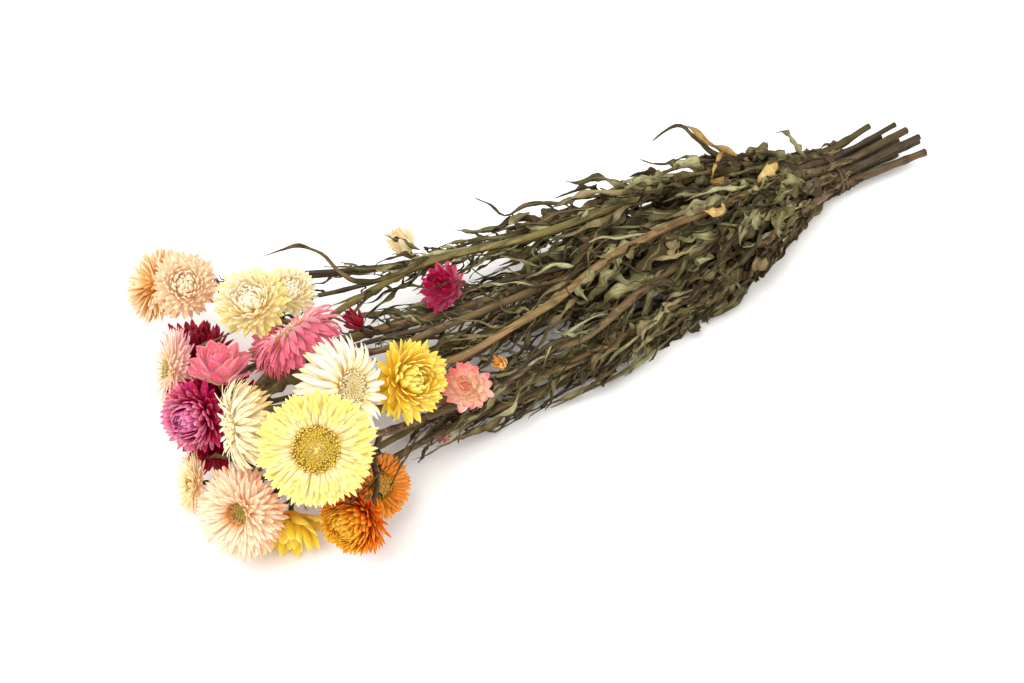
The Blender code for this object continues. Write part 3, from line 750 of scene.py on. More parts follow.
def bract_paper(name):
    """Silky dry paper: base to tip, inner to outer, veins, painted shade at bases, painted glow."""
    base, middle, tip, outer_middle, outer_tip = (TONES[tone] for tone in HEAD_TONES[name])
    material, tree, shader = start_material(name + "_paper", 0.42)
    across, along = surface_place(tree)
    row, chance = attribute(tree, "row"), attribute(tree, "chance")
    veins = noise(tree, own_place(tree, across, along, chance, (9.0, 1.3, 40.0)), 1.6, 4.0)
    own = reckon(tree, "SUBTRACT", chance, 0.5)
    drift = reckon(tree, "MULTIPLY_ADD", own, 0.28, along)
    drift = reckon(tree, "MULTIPLY_ADD", reckon(tree, "SUBTRACT", veins, 0.5), 0.30, drift)
    inner = ramp(tree, drift, ((0.05, base), (0.50, middle), (0.95, tip)))
    outer = ramp(tree, drift, ((0.08, base), (0.48, outer_middle), (0.95, outer_tip)))
    colour = blend(tree, fade(tree, row, 0.10, 0.55, low=1.0, high=0.0), inner, outer)
    shade = reckon(tree, "MULTIPLY_ADD", own, 0.10, veins)
    colour = blend(tree, 1.0, colour, ramp(tree, shade, VEIN_WARMTH), "MULTIPLY")
    # Painted shade: each bract warmer and a little darker towards its base, deep in the head
    colour = blend(tree, 1.0, colour, ramp(tree, along, PAINTED_DEPTH_SHADE), "MULTIPLY")
    tree.links.new(colour, shader.inputs["Base Color"])
    # Painted glow: the paper's colour is also given off as light
    tree.links.new(colour, shader.inputs["Emission Color"])
    shader.inputs["Emission Strength"].default_value = PAINTED_PAPER_GLOW * float(np.mean(middle) / 255)**2
    shader.inputs["Specular IOR Level"].default_value = 0.35
    shader.inputs["Subsurface Weight"].default_value = 0.65
    shader.inputs["Subsurface Radius"].default_value = (1.0, 0.7, 0.5)
    shader.inputs["Subsurface Scale"].default_value = 0.003
    add_bump(tree, shader, veins, 0.35, 0.0004)
    return material


print("bract papers:", len(HEAD_TONES))

# %% Make every head's bracts
# Heads that differ from their habit: how many bracts, how wide, how unruly, how many
# degrees farther open, how much longer, and the size of the cushion. Two have a
# habit of their own: a mane of narrow bracts, and a well sunk in the middle.
HEAD_BUILD = {
    "apricot_old": dict(habit="mane", count=300, spread=0.9),
    "peach_pompon": dict(count=240, wide=1.15, reach=1.08),
    "cream_double": dict(count=240, wide=1.3, reach=1.08),
    "cream_second": dict(count=210, wide=1.35, reach=1.08),
    "pink_reflexed": dict(count=160, wide=1.5, spread=0.8, reach=1.04),
    "blush_left": dict(count=270, opening=14, reach=1.08),
    # wine_back, wine_middle: wine-red heads whose long dark bracts also stand in for shade between heads
    "wine_back": dict(count=110, wide=0.9, spread=1.4, opening=8, reach=1.4),
    "coral_cup": dict(count=34, wide=1.9, spread=0.6, reach=1.2),
    "magenta_pompon": dict(count=220, wide=1.3, reach=1.05),
    "wine_middle": dict(count=150, wide=1.1, spread=1.2, opening=18, reach=1.75),
    "cream_swept": dict(count=190, wide=1.35, spread=0.6),
    "ivory_swept": dict(count=190, wide=1.3, reach=1.15),
    "lemon_large": dict(count=450, wide=1.0, spread=0.7),
    "yellow_side": dict(count=160, wide=1.5, spread=1.2, reach=1.15),
    "rose_small": dict(count=46, wide=1.3, reach=1.15),
    "magenta_small": dict(count=60, wide=1.1, reach=1.2),
    "ruby_bud": dict(count=26, reach=1.2),
    "peach_large": dict(habit="well", count=320, opening=2, cushion=0.5),
    "yellow_cup": dict(count=32, wide=1.7, reach=1.45),
    "orange_large": dict(count=380, wide=1.05, spread=0.35, opening=-8, reach=0.97),
    "orange_side": dict(count=240, wide=1.2), "back_gold": dict(count=50, reach=0.8),
    "under_cream": dict(count=50, reach=0.75),
}
bract_faces = 0
for number, (name, (_, _, _, habit, slot)) in enumerate(HEADS.items()):
    build = {"habit": habit, "count": BRACT_COUNT[habit], "cushion": 1.0}
    build.update(HEAD_BUILD.get(name, {}))
    cushion = build.pop("cushion")
    rng = np.random.default_rng(100 + number)
    skins = [grow_bracts(name, rng, **build), receptacle(name, cushion)]
    piece = make_piece(name + "_petals", skins, bract_paper(name), (name + "_bracts",))
    bract_faces += len(piece.data.polygons)
print("bract faces:", bract_faces)

# %% [markdown]
# ## Discs
# The middle of an open head is not one surface but hundreds of tiny tube-shaped
# florets. They too follow the golden angle, at a radius that grows with the square
# root of their number so that they are evenly packed. Each is a five-sided tube of
# three rings. The oldest, at the rim, are the tallest, and the centre is sunk.

# %% Build the discs
FLORET_ROUND = round_angles(5)
# For each disc: how many florets, then in diameters its radius, the height of its
# floor, the height of its rim and the depth of its dip
DISCS = {
    "blush_left": (110, 0.12, 0.15, 0.05, 0.02), "lemon_large": (420, 0.205, 0.14, 0.05, 0.02),
    "peach_large": (160, 0.10, 0.085, 0.05, 0.025), "straw_low": (110, 0.13, 0.14, 0.05, 0.02),
    "orange_side": (140, 0.15, 0.14, 0.05, 0.02), "ivory_swept": (300, 0.21, 0.28, 0.06, 0.03),
    "cream_swept": (260, 0.21, 0.28, 0.06, 0.02), "pink_reflexed": (260, 0.21, 0.28, 0.06, 0.02),
}


def grow_florets(name, rng):
    """Florets of one disc: five-sided tubes at the golden angle, tallest at the rim."""
    count, radius, floor_height, rim, dip = DISCS[name]
    order = np.arange(count)
    share = np.sqrt((order + 0.5) / count)
    around = order * GOLDEN_ANGLE
    radial = np.stack((np.cos(around), np.sin(around), 0 * around), -1)
    foot = radial * (share * radius)[:, None] + AXIS * floor_height
    tall = (rim - dip * (1 - share**2)) * rng.uniform(0.8, 1.25, count)
    lean = radial * (0.25 * share * tall)[:, None] + rng.normal(0, 0.1, (count, 3)) * tall[:, None]
    heights = np.array((0.0, 0.75, 1.0))
    growth = lean + AXIS * tall[:, None]
    line = foot[:, None] + heights[None, :, None] * growth[:, None]
    girth = radius / math.sqrt(count) * np.array((0.62, 0.72, 0.95))
    wide = girth[None, :, None] * np.cos(FLORET_ROUND)
    high = girth[None, :, None] * np.sin(FLORET_ROUND)
    sideways = np.broadcast_to(np.array((1.0, 0, 0)), line.shape)
    second = np.broadcast_to(np.array((0, 1.0, 0)), line.shape)
    points = head_to_world(name, ring_points(line, sideways, second, wide, high))
    return skin(points, u=0.5, v=heights[None, :, None], row=share[:, None, None],
                chance=rng.random(count)[:, None, None])


def disc_pad(name):
    """The pad the florets stand on: a low closed dome."""
    _, radius, floor_height, rim, _ = DISCS[name]
    profile = np.array(((0.3, -0.09), (0.8, -0.06), (1.0, 0.0), (0.92, 0.4 * rim), (0.1, 0.3 * rim)))
    profile = profile * (radius, 1.0) + (0.0, floor_height)
    return turned(name, profile, 16, u=0.5, v=0.1, row=0.7, chance=0.3)


def floret_felt(name, centre, ring, edge):
    """Florets: a duller centre, a bright ring, dark specks at the edge, painted shade low down."""
    material, tree, shader = start_material(name + "_florets", 0.75)
    _, along = surface_place(tree)
    row, chance = attribute(tree, "row"), attribute(tree, "chance")
    colour = ramp(tree, row, ((0.15, centre), (0.5, ring), (0.85, ring), (1.0, edge)))
    dark = reckon(tree, "GREATER_THAN", chance, 0.78)
    dark = reckon(tree, "MULTIPLY", dark, reckon(tree, "GREATER_THAN", along, 0.6))
    dark = reckon(tree, "MULTIPLY", dark, reckon(tree, "GREATER_THAN", row, 0.62))
    colour = blend(tree, reckon(tree, "MULTIPLY", dark, 0.75), colour, paint((84, 58, 20)))
    # Painted shade: each floret darker towards its foot, down between its neighbours
    shade = reckon(tree, "MULTIPLY_ADD", along, 0.30, 0.74)
    shade = reckon(tree, "MULTIPLY_ADD", chance, 0.12, shade)
    tree.links.new(shaded(tree, colour, shade), shader.inputs["Base Color"])
    grain = noise(tree, object_place(tree), 1800.0)
    add_bump(tree, shader, grain, 0.4, 0.0003)
    return material


DISC_TONES = {
    "lemon_large": ((140, 132, 80), (202, 170, 58), (222, 200, 118)),
    "peach_large": ((150, 130, 56), (186, 164, 84), (228, 206, 140)),
    "blush_left": ((160, 146, 84), (186, 168, 104), (206, 184, 120)),
    "ivory_swept": ((204, 182, 116), (224, 206, 158), (230, 216, 178)),
    "cream_swept": ((216, 196, 142), (232, 218, 176), (230, 216, 178)),
    "pink_reflexed": ((216, 196, 142), (232, 218, 176), (240, 228, 200)),
}
PLAIN_DISC = ((140, 122, 50), (200, 160, 60), (206, 168, 80))
for number, name in enumerate(DISCS):
    rng = np.random.default_rng(300 + number)
    node = name + "_disc"
    nodes = (node,) if node in frame["nodes"] else ()
    make_piece(name + "_florets", [grow_florets(name, rng), disc_pad(name)],
               floret_felt(name, *DISC_TONES.get(name, PLAIN_DISC)), nodes)
print("discs:", len(DISCS), "florets:", sum(disc[0] for disc in DISCS.values()))

# %% [markdown]
# ## Stems
# A dried stem is a shrunken tube: shallow ribs run along it, it swells where a leaf
# grew, and it bends a little there. The cut end shows a woody rim round pale pith.
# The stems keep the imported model's routes exactly. Only the surface is finer: more
# sides, ribs as a wave round the ring, and swellings along it. Side shoots and cut
# ends have shrunk more than the rest.

# %% Build the stems
STEM_STEP = 5.0
STEM_SIDES = 18
SHOOT_SIDES = 12
SHRUNKEN = 0.75
END_SLIMMING = (0.25, 0.50)
PITH_DEPTH = 0.5
# Shares of the radius, and the length of a joint in mm
JOINT_SWELLING = 0.20
JOINT_LENGTH = 2.2
RIB_HEIGHT = 0.06
FLATTENING = 0.05
DENT_DEPTH = 0.03
NECK_LENGTH = 14.0
BUD_NECK_LENGTH = 8.0
SEAT_LENGTH = 2.0
NECK_BEND = {
    "orange_large": (0.3, 0.6, 0.7), "yellow_cup": (1.0, 0.5, -0.3), "coral_cup": (1.0, 0.0, 0.3),
    "magenta_pompon": (1.0, -0.8, 0.2), "cream_double": (0.8, -0.6, -0.4),
}
BACK_ALONG_BUNCH = (1.0, 0.0, -0.15)


def neck_points(name):
    """The last points of a stem, ending in the back of the head."""
    _, diameter, facing, habit, _ = HEADS[name]
    zero, _ = head_axes(name)
    facing = unit(np.array(facing, float))
    base = zero + facing * (SEAT_HEIGHT[habit] * diameter)
    length = BUD_NECK_LENGTH if habit == "bud" else NECK_LENGTH
    aim = unit(np.array(NECK_BEND.get(name, BACK_ALONG_BUNCH), float))
    points = [base - facing * GAP, base - facing * (GAP + SEAT_LENGTH)]
    heading = -facing
    for _ in range(3):
        heading = unit(heading * 0.8 + aim * 0.35)
        points.append(points[-1] + heading * (length / 3))
    return points[::-1]


def tie_point(name, x):
    """Where a stem passes through the tied bundle."""
    column, row = TIE_SLOTS[name]
    lowest = TIE_WALL + GAP + STEM_RADIUS + 0.05
    return (x, TIE_MIDDLE_Y + column * STEM_SPACING, lowest + row * ROW_SPACING)


def main_route(name):
    """A stem's middle line and its radius there, in mm."""
    stem = STEMS[name]
    reach = TIE_WIDTH / 2 + 3
    points = [stem["cut"], tie_point(name, TIE_X + reach), tie_point(name, TIE_X - reach)]
    path = smooth_route(points + list(stem["route"]) + neck_points(stem["head"]), STEM_STEP)
    along = np.clip((TIE_X - reach - path[:, 0]) / (TIE_X - reach - path[-1, 0]), 0, 1)
    return path, STEM_RADIUS + (NECK_RADIUS - STEM_RADIUS) * along


def shoot_route(name, number):
    """A side shoot's middle line and its radius there, in mm."""
    start, via, head = STEMS[name]["shoots"][number]
    neck = BUD_NECK_RADIUS if HEADS[head][3] == "bud" else NECK_RADIUS
    path = smooth_route([STEMS[name]["route"][start], *via] + neck_points(head), STEM_STEP)
    return path, np.linspace(min(SHOOT_RADIUS, neck + 0.5), neck, len(path))


def ribbed_rod(path, radii, sides, rng):
    """A ribbed stem along a path. Round the ring the radius follows a wave of six
    ribs and slower ones; along it, it swells at every leaf joint and shrinks
    between. The first end is cut: two more rings turn in to a sunken pith."""
    ahead, across, up = carry_frames(path[None], (0, 1, 0))
    distance = np.concatenate(([0], np.cumsum(np.linalg.norm(np.diff(path, axis=0), axis=1))))
    spacing = rng.uniform(17, 24)
    from_joint = (distance + rng.uniform(0, spacing)) % spacing - spacing / 2
    swelling = 1 + JOINT_SWELLING * np.exp(-(from_joint / JOINT_LENGTH)**2) - 0.04 * np.cos(distance / 9)
    angle = round_angles(sides)
    phase = rng.uniform(0, 6) + 0.012 * distance[:, None]
    ribs = 1 + RIB_HEIGHT * np.sin(6 * angle + phase * 2) + FLATTENING * np.sin(2 * angle + phase)
    ribs = ribs + DENT_DEPTH * np.sin(3 * angle + 0.9 * distance[:, None])
    rings = (radii * swelling)[:, None] * ribs
    joint = np.exp(-(from_joint / 1.6)**2)
    path = np.vstack((path[0] + ahead[0, 0] * PITH_DEPTH, path[0], path[0], path))
    rings = np.vstack((rings[0] * 0.55, rings[0] * 0.72, rings[0] * 0.97, rings))
    across, up = (np.concatenate((side[:, :1],) * 3 + (side,), 1) for side in (across, up))
    wide = (rings * np.cos(angle))[None]
    high = (rings * np.sin(angle))[None]
    points = ring_points(path[None], across, up, wide, high)
    pith = np.concatenate(((1.0, 0.8, 0.2), np.zeros(len(distance))))
    joint = np.concatenate(((0, 0, 0), joint))
    along = np.concatenate(((0, 0, 0), distance))
    return skin(above_floor(to_world(points)), u=angle / (2 * math.pi), v=along[None, :, None] * 0.01,
                pith=pith[None, :, None], joint=joint[None, :, None], chance=rng.random())


def stem_bark(name, dark, light, tint):
    """Dry bark: lengthwise streaks, patches of another tint, dark leaf joints, pale pith."""
    material, tree, shader = start_material(name, 0.62)
    place = object_place(tree)
    stretched = put(tree, "ShaderNodeMapping", Vector=place, Scale=(45.0, 520.0, 520.0)).outputs[0]
    streaks = noise(tree, stretched, 1.0, 5.0, 0.6)
    patches = noise(tree, place, 38.0, 3.0)
    colour = ramp(tree, fade(tree, streaks, 0.32, 0.68), ((0.0, dark), (1.0, light)))
    colour = blend(tree, fade(tree, patches, 0.42, 0.62, high=0.75), colour, paint(tint))
    joint = reckon(tree, "MULTIPLY", attribute(tree, "joint"), 0.55)
    colour = blend(tree, joint, colour, paint(tuple(0.55 * c for c in dark)))
    scars = fade(tree, noise(tree, place, 260.0, 2.0), 0.66, 0.74)
    colour = blend(tree, reckon(tree, "MULTIPLY", scars, 0.5), colour, paint((176, 140, 96)))
    speckle = noise(tree, place, 1500.0, 2.0)
    pith_colour = ramp(tree, speckle, ((0.3, (176, 150, 104)), (0.7, (226, 210, 168))))
    pith = reckon(tree, "MULTIPLY", attribute(tree, "pith"), 0.7)
    colour = blend(tree, pith, colour, pith_colour)
    _, along = surface_place(tree)
    # Darker over about the first 50 to 140 mm of each stem and shoot, from where it starts
    colour = shaded(tree, colour, fade(tree, along, 0.5, 1.4, low=0.40))
    tree.links.new(colour, shader.inputs["Base Color"])
    shader.inputs["Specular IOR Level"].default_value = 0.35
    add_bump(tree, shader, streaks, 0.8, 0.0010)
    return material


BARKS = {
    "stem_olive_bark": stem_bark("stem_olive_bark", (60, 52, 26), (136, 120, 66), (110, 100, 42)),
    "stem_tan_bark": stem_bark("stem_tan_bark", (76, 54, 32), (160, 126, 82), (122, 100, 54)),
    "stem_brown_bark": stem_bark("stem_brown_bark", (54, 40, 25), (124, 98, 64), (96, 78, 46)),
}
routes = {}
for number, name in enumerate(STEMS):
    rng = np.random.default_rng(500 + number)
    path, radii = main_route(name)
    slim = rng.uniform(*END_SLIMMING)
    radii = radii * (1 - slim * np.clip((path[:, 0] - TIE_X - 5) / 18, 0, 1))
    routes[name] = [(path, radii)]
    skins = [ribbed_rod(path, radii, STEM_SIDES, rng)]
    for shoot in range(len(STEMS[name]["shoots"])):
        shoot_path, shoot_radii = shoot_route(name, shoot)
        shoot_radii = shoot_radii * SHRUNKEN
        routes[name].append((shoot_path, shoot_radii))
        skins.append(ribbed_rod(shoot_path, shoot_radii, SHOOT_SIDES, rng))
    slot = STEMS[name]["slot"]
    make_piece(name + "_ribbed", skins, BARKS[slot], (name,))
print("stems finished:", len(routes))

# %% [markdown]
# ## Leaves
# Strawflower leaves are long and soft. Dried, they shrink, roll in along their
# margins, twist, and lie along the stems like crumpled straps. A leaf here is a
# thin closed blade carried along a wandering line: its direction turns by two
# smooth angles, one up and down, one sideways, and curls harder towards the tip.
# Across, the blade is an arc, so one number rolls it from flat to nearly a tube.

# %% Build leaves along wandering lines
LEAF_THICKNESS = 0.22
# About one full turn, in radians
NEARLY_ROUND = 6.3
# The leafy bundle along X, in mm: its middle in Y and Z, and its half width and height
BUNDLE = np.array(((-240, 5, 50, 110, 60), (-200, 5, 50, 110, 60), (-150, 2, 40, 80, 44),
                   (-100, 2, 33, 60, 34), (-50, 0, 32, 64, 34), (0, 2, 32, 60, 34),
                   (50, 6, 30, 53, 35), (100, 10, 28, 45, 32), (150, 21, 22, 27, 25),
                   (180, 28, 16, 17, 17), (205, 29, 12, 15.5, 12.5), (225, 30, 12, 15, 12)))


def hold_in_bundle(points):
    """Press what strays out of the bundle back to its oval outline: past nine tenths
    of the way out, the distance from the middle grows ever more slowly."""
    x = points[..., 0]
    middle_y, middle_z, half_y, half_z = (np.interp(x, BUNDLE[:, 0], BUNDLE[:, k]) for k in range(1, 5))
    y = (points[..., 1] - middle_y) / half_y
    z = (points[..., 2] - middle_z) / half_z
    far = np.maximum(np.hypot(y, z), 1e-6)
    held = np.where(far > 0.9, 0.9 + 0.25 * np.tanh((far - 0.9) / 0.35), far) / far
    return np.stack((x, middle_y + y * held * half_y, middle_z + z * held * half_z), -1)


def wave(rng, count, stations, cycles):
    """A smooth random curve for each leaf: three sines of random phase and height."""
    s = np.linspace(0, 1, stations)
    total = 0
    for k in (1, 2, 3):
        phase, height = rng.uniform(0, NEARLY_ROUND, (2, count, 1))
        total = total + (height / NEARLY_ROUND) * np.sin(NEARLY_ROUND * s * cycles * k / 2 + phase)
    return total


def blades(line, side, half, roll, ripple, sides, chance, rng):
    """Leaf blades along lines in mm. Across, a blade is an arc of the given roll, and
    its points lie at sin(roll t) / roll sideways and (1 - cos(roll t)) / roll up. Each
    margin ripples in its own way, the width pinches at random, and the blade twists."""
    count, stations = line.shape[:2]
    s = np.linspace(0, 1, stations)
    _, across, up = carry_frames(line, side)
    twist = (rng.normal(0, 0.8, (count, 1)) * s + 0.4 * wave(rng, count, stations, 2))[..., None]
    across, up = twisted(across, up, twist)
    outline = np.sin(np.pi * np.clip(0.06 + 0.92 * s**0.85, 0, 1))**0.75
    pinch = 1 + 0.35 * wave(rng, count, stations, 2.5)
    width = (half[:, None] * outline * np.clip(pinch, 0.35, 1.5))[..., None]
    around = round_angles(sides)
    t = np.cos(around)
    bend = np.maximum(roll[:, None] * (1 + 0.4 * wave(rng, count, stations, 3)), 0.05)[..., None]
    wide = width * np.sin(bend * t) / bend
    high = width * (1 - np.cos(bend * t)) / bend
    left, right = (wave(rng, count, stations, stations / 7)[..., None] for _ in range(2))
    margin = np.where(t > 0, right, left) * t**2 * ripple * np.minimum(width, 2.5)
    high = high + margin + LEAF_THICKNESS / 2 * np.sin(around)
    points = ring_points(line, across, up, wide, high)
    return skin(above_floor(to_world(points)), u=0.5 + 0.5 * t, v=s[None, :, None],
                chance=chance[:, None, None])


def wandering_lines(starts, headings, sides, lengths, lift, curl, wander, stations, rng):
    """Middle lines of leaves, in mm. The direction starts at the heading, turns away
    from the stem by lift, and curls with the cube of the share s; wander turns it
    both ways. Small steps along the direction add up to the line."""
    count = len(starts)
    s = np.linspace(0, 1, stations)
    rise = lift[:, None] * (1 - s) + curl[:, None] * s**3 + wander * wave(rng, count, stations, 2)
    aside = rng.normal(0, 0.8 * wander, (count, 1)) * s**1.5 + wander * wave(rng, count, stations, 2)
    third = np.cross(headings, sides)
    direction = (headings[:, None] * (np.cos(rise) * np.cos(aside))[..., None]
                 + sides[:, None] * (np.sin(rise) * np.cos(aside))[..., None]
                 + third[:, None] * np.sin(aside)[..., None])
    steps = direction * (lengths[:, None] / (stations - 1))[..., None]
    steps[:, 0] = 0
    return starts[:, None] + np.cumsum(steps, axis=1)


print("leaf tools ready")

# %% [markdown]
# ## The finish of a leaf
# Dead leaves are not one green. The upper side is olive to brown, the underside is
# paler and woolly; here both sides share one finish, in patches from brown through
# olive to sage. The margins and the tip have turned brown, and the midrib shows
# as a lighter line. Fine wrinkles cover all of it.

# %% Dry leaf
def dry_leaf(name, deep, olive, sage, brown):
    """Patches from deep to sage by noise and chance, brown margins, a pale midrib, painted
    shade in furrows, wrinkles.
    """
    material, tree, shader = start_material(name, 0.78)
    across, along = surface_place(tree)
    chance = attribute(tree, "chance")
    place = object_place(tree)
    patches = noise(tree, place, 60.0, 5.0, 0.5)
    mix_value = reckon(tree, "MULTIPLY_ADD", reckon(tree, "SUBTRACT", patches, 0.5), 1.6, chance)
    colour = ramp(tree, mix_value, ((0.0, brown), (0.3, deep), (0.6, olive), (1.0, sage)))
    from_rib = reckon(tree, "ABSOLUTE", reckon(tree, "SUBTRACT", across, 0.5))
    rib = reckon(tree, "LESS_THAN", from_rib, 0.045)
    pale = paint(tuple(min(255, 1.2 * c) for c in sage))
    colour = blend(tree, reckon(tree, "MULTIPLY", rib, 0.2), colour, pale)
    colour = blend(tree, fade(tree, from_rib, 0.36, 0.5, high=0.5), colour, paint(brown))
    colour = blend(tree, fade(tree, along, 0.78, 1.0, high=0.6), colour, paint(brown))
    mottle = noise(tree, place, 420.0, 4.0)
    # Painted shade: dark lengthwise streaks along the leaf stand in for the shadows in its furrows
    furrow_place = own_place(tree, across, along, chance, (11.0, 2.0, 90.0))
    painted_furrow_shade = noise(tree, furrow_place, 1.4, 3.0, 0.4)
    shade = reckon(tree, "MULTIPLY_ADD", mottle, 0.6, 0.08)
    shade = reckon(tree, "MULTIPLY_ADD", painted_furrow_shade, 1.25, shade)
    tree.links.new(shaded(tree, colour, shade), shader.inputs["Base Color"])
    shader.inputs["Specular IOR Level"].default_value = 0.25
    wrinkle_place = own_place(tree, across, along, chance, (5.0, 7.0, 60.0))
    wrinkles = noise(tree, wrinkle_place, 1.5, 5.0, 0.8)
    add_bump(tree, shader, wrinkles, 0.8, 0.0012)
    return material


LEAF_FINISHES = {
    "leaf_green": dry_leaf("leaf_green", (52, 46, 26), (106, 99, 60), (168, 163, 120), (84, 67, 41)),
    "leaf_brown": dry_leaf("leaf_brown", (52, 40, 24), (100, 84, 52), (152, 136, 96), (72, 54, 32)),
    "leaf_pale": dry_leaf("leaf_pale", (140, 108, 56), (186, 154, 92), (220, 196, 138), (120, 88, 48)),
}
print("leaf finishes:", ", ".join(LEAF_FINISHES))

# %% Leaves along the stems
# Families of leaves: spacing along the stem; where they grow (X from, to, and how
# far back from the head); lengths; half widths; roll; ripple; lift; curl; wander;
# how strongly they turn to the outside of the bundle; and the fineness of the mesh.
# All in mm and radians.
WHOLE_STEM = 1000
LEAF_FAMILIES = {
    "strap": dict(spacing=6.5, reach=(180, 40), last=WHOLE_STEM, length=(38, 76), half=(1.8, 3.4),
                  roll=(0.7, 2.2), ripple=0.35, lift=0.10, curl=0.6, wander=0.22, pull=0.6,
                  stations=20, sides=8, shoots=False),
    "ribbon": dict(spacing=5.5, reach=(60, -85), last=WHOLE_STEM, length=(34, 66), half=(1.2, 2.5),
                   roll=(1.2, 2.8), ripple=0.3, lift=0.15, curl=0.9, wander=0.28, pull=0.4,
                   stations=20, sides=8, shoots=False),
    "crumpled": dict(spacing=7.5, reach=(184, 10), last=WHOLE_STEM, length=(30, 58), half=(3.2, 6.0),
                     roll=(0.5, 1.9), ripple=0.7, lift=0.25, curl=1.3, wander=0.38, pull=1.0,
                     stations=22, sides=10, shoots=False),
    "small": dict(spacing=10.0, reach=(30, -120), last=WHOLE_STEM, length=(12, 30), half=(0.8, 1.8),
                  roll=(0.8, 2.4), ripple=0.4, lift=0.6, curl=1.8, wander=0.45, pull=0.4,
                  stations=12, sides=8, shoots=True),
    "collar": dict(spacing=4.5, reach=(0, -260), last=36, length=(8, 18), half=(0.8, 1.6),
                   roll=(0.8, 2.2), ripple=0.4, lift=0.9, curl=1.5, wander=0.5, pull=0.0,
                   stations=10, sides=6, shoots=True),
    "wrap": dict(spacing=4.5, reach=(222, 190), last=WHOLE_STEM, length=(16, 30), half=(1.1, 2.3),
                 roll=(0.8, 2.2), ripple=0.5, lift=0.30, curl=0.7, wander=0.30, pull=1.6,
                 stations=14, sides=8, shoots=False),
}
# The collar leaves by the heads are dark brown: partly their own dry colour, partly a stand-in for the
# shade in the gaps between the heads
BROWN_FAMILIES = ("collar", "wrap")
# The stretches of stem that stay bare towards the camera: X from, to
BARE_STRETCHES = {"stem_olive": (60, -110), "stem_brown": (10, -90), "stem_tan": (100, -60),
                  "stem_thick": (60, -60)}
CAMERA_SIDE = np.array(toward_camera)


def leaves_on_route(name, path, radii, form, rng):
    """All leaves of one family on one stem or shoot, at the golden angle round it."""
    distance = np.concatenate(([0], np.cumsum(np.linalg.norm(np.diff(path, axis=0), axis=1))))
    first = max(0.0, distance[-1] - form["last"]) + rng.uniform(0, form["spacing"])
    at = np.arange(first, distance[-1] - 7, form["spacing"])
    at = at + rng.uniform(-0.3, 0.3, len(at)) * form["spacing"]
    point = np.stack([np.interp(at, distance, path[:, k]) for k in range(3)], -1)
    inside = (point[:, 0] < form["reach"][0]) & (point[:, 0] > form["reach"][1])
    at, point = at[inside], point[inside]
    count = len(at)
    ahead, across, up = (np.stack([np.interp(at, distance, side[0, :, k]) for k in range(3)], -1)
                         for side in carry_frames(path[None], (0, 1, 0)))
    around = np.arange(count) * GOLDEN_ANGLE + rng.uniform(0, 6.3)
    side = across * np.cos(around)[:, None] + up * np.sin(around)[:, None]
    middle = np.stack([np.interp(point[:, 0], BUNDLE[:, 0], BUNDLE[:, k]) for k in (1, 2)], -1)
    outward = unit(np.column_stack((np.zeros(count), point[:, 1:] - middle)))
    side = unit(side + outward * form["pull"])
    if name in BARE_STRETCHES:
        bare_from, bare_to = BARE_STRETCHES[name]
        bare = (point[:, 0] < bare_from) & (point[:, 0] > bare_to) & (side @ CAMERA_SIDE > -0.1)
        side[bare] = -side[bare]
    start = point + side * (np.interp(at, distance, radii) * 0.8)[:, None]
    heading = unit(unit(ahead) + side * 0.15 + rng.normal(0, 0.10, (count, 3)))
    side = unit(side - heading * (side * heading).sum(-1, keepdims=True))
    line = wandering_lines(start, heading, side, rng.uniform(*form["length"], count),
                           rng.normal(form["lift"], 0.3, count), rng.normal(0, form["curl"], count),
                           form["wander"], form["stations"], rng)
    return blades(hold_in_bundle(line), side, rng.uniform(*form["half"], count),
                  rng.uniform(*form["roll"], count), form["ripple"], form["sides"],
                  np.clip(rng.normal(0.5, 0.28, count), 0, 1), rng)


leaf_total = 0
for number, name in enumerate(STEMS):
    for place_in_list, (family, form) in enumerate(LEAF_FAMILIES.items()):
        rng = np.random.default_rng(700 + 10 * number + place_in_list)
        leafy = routes[name] if form["shoots"] else routes[name][:1]
        skins = [leaves_on_route(name, path, radii, form, rng) for path, radii in leafy]
        brown = family in BROWN_FAMILIES or (number + place_in_list) % 3 == 0
        slot = "leaf_brown" if brown else "leaf_green"
        make_piece(f"{name}_{family}_leaves", skins, LEAF_FINISHES[slot])
        leaf_points = form["stations"] * form["sides"]
        leaf_total += sum(len(part["points"]) for part in skins) // leaf_points
print("leaves on the stems:", leaf_total)
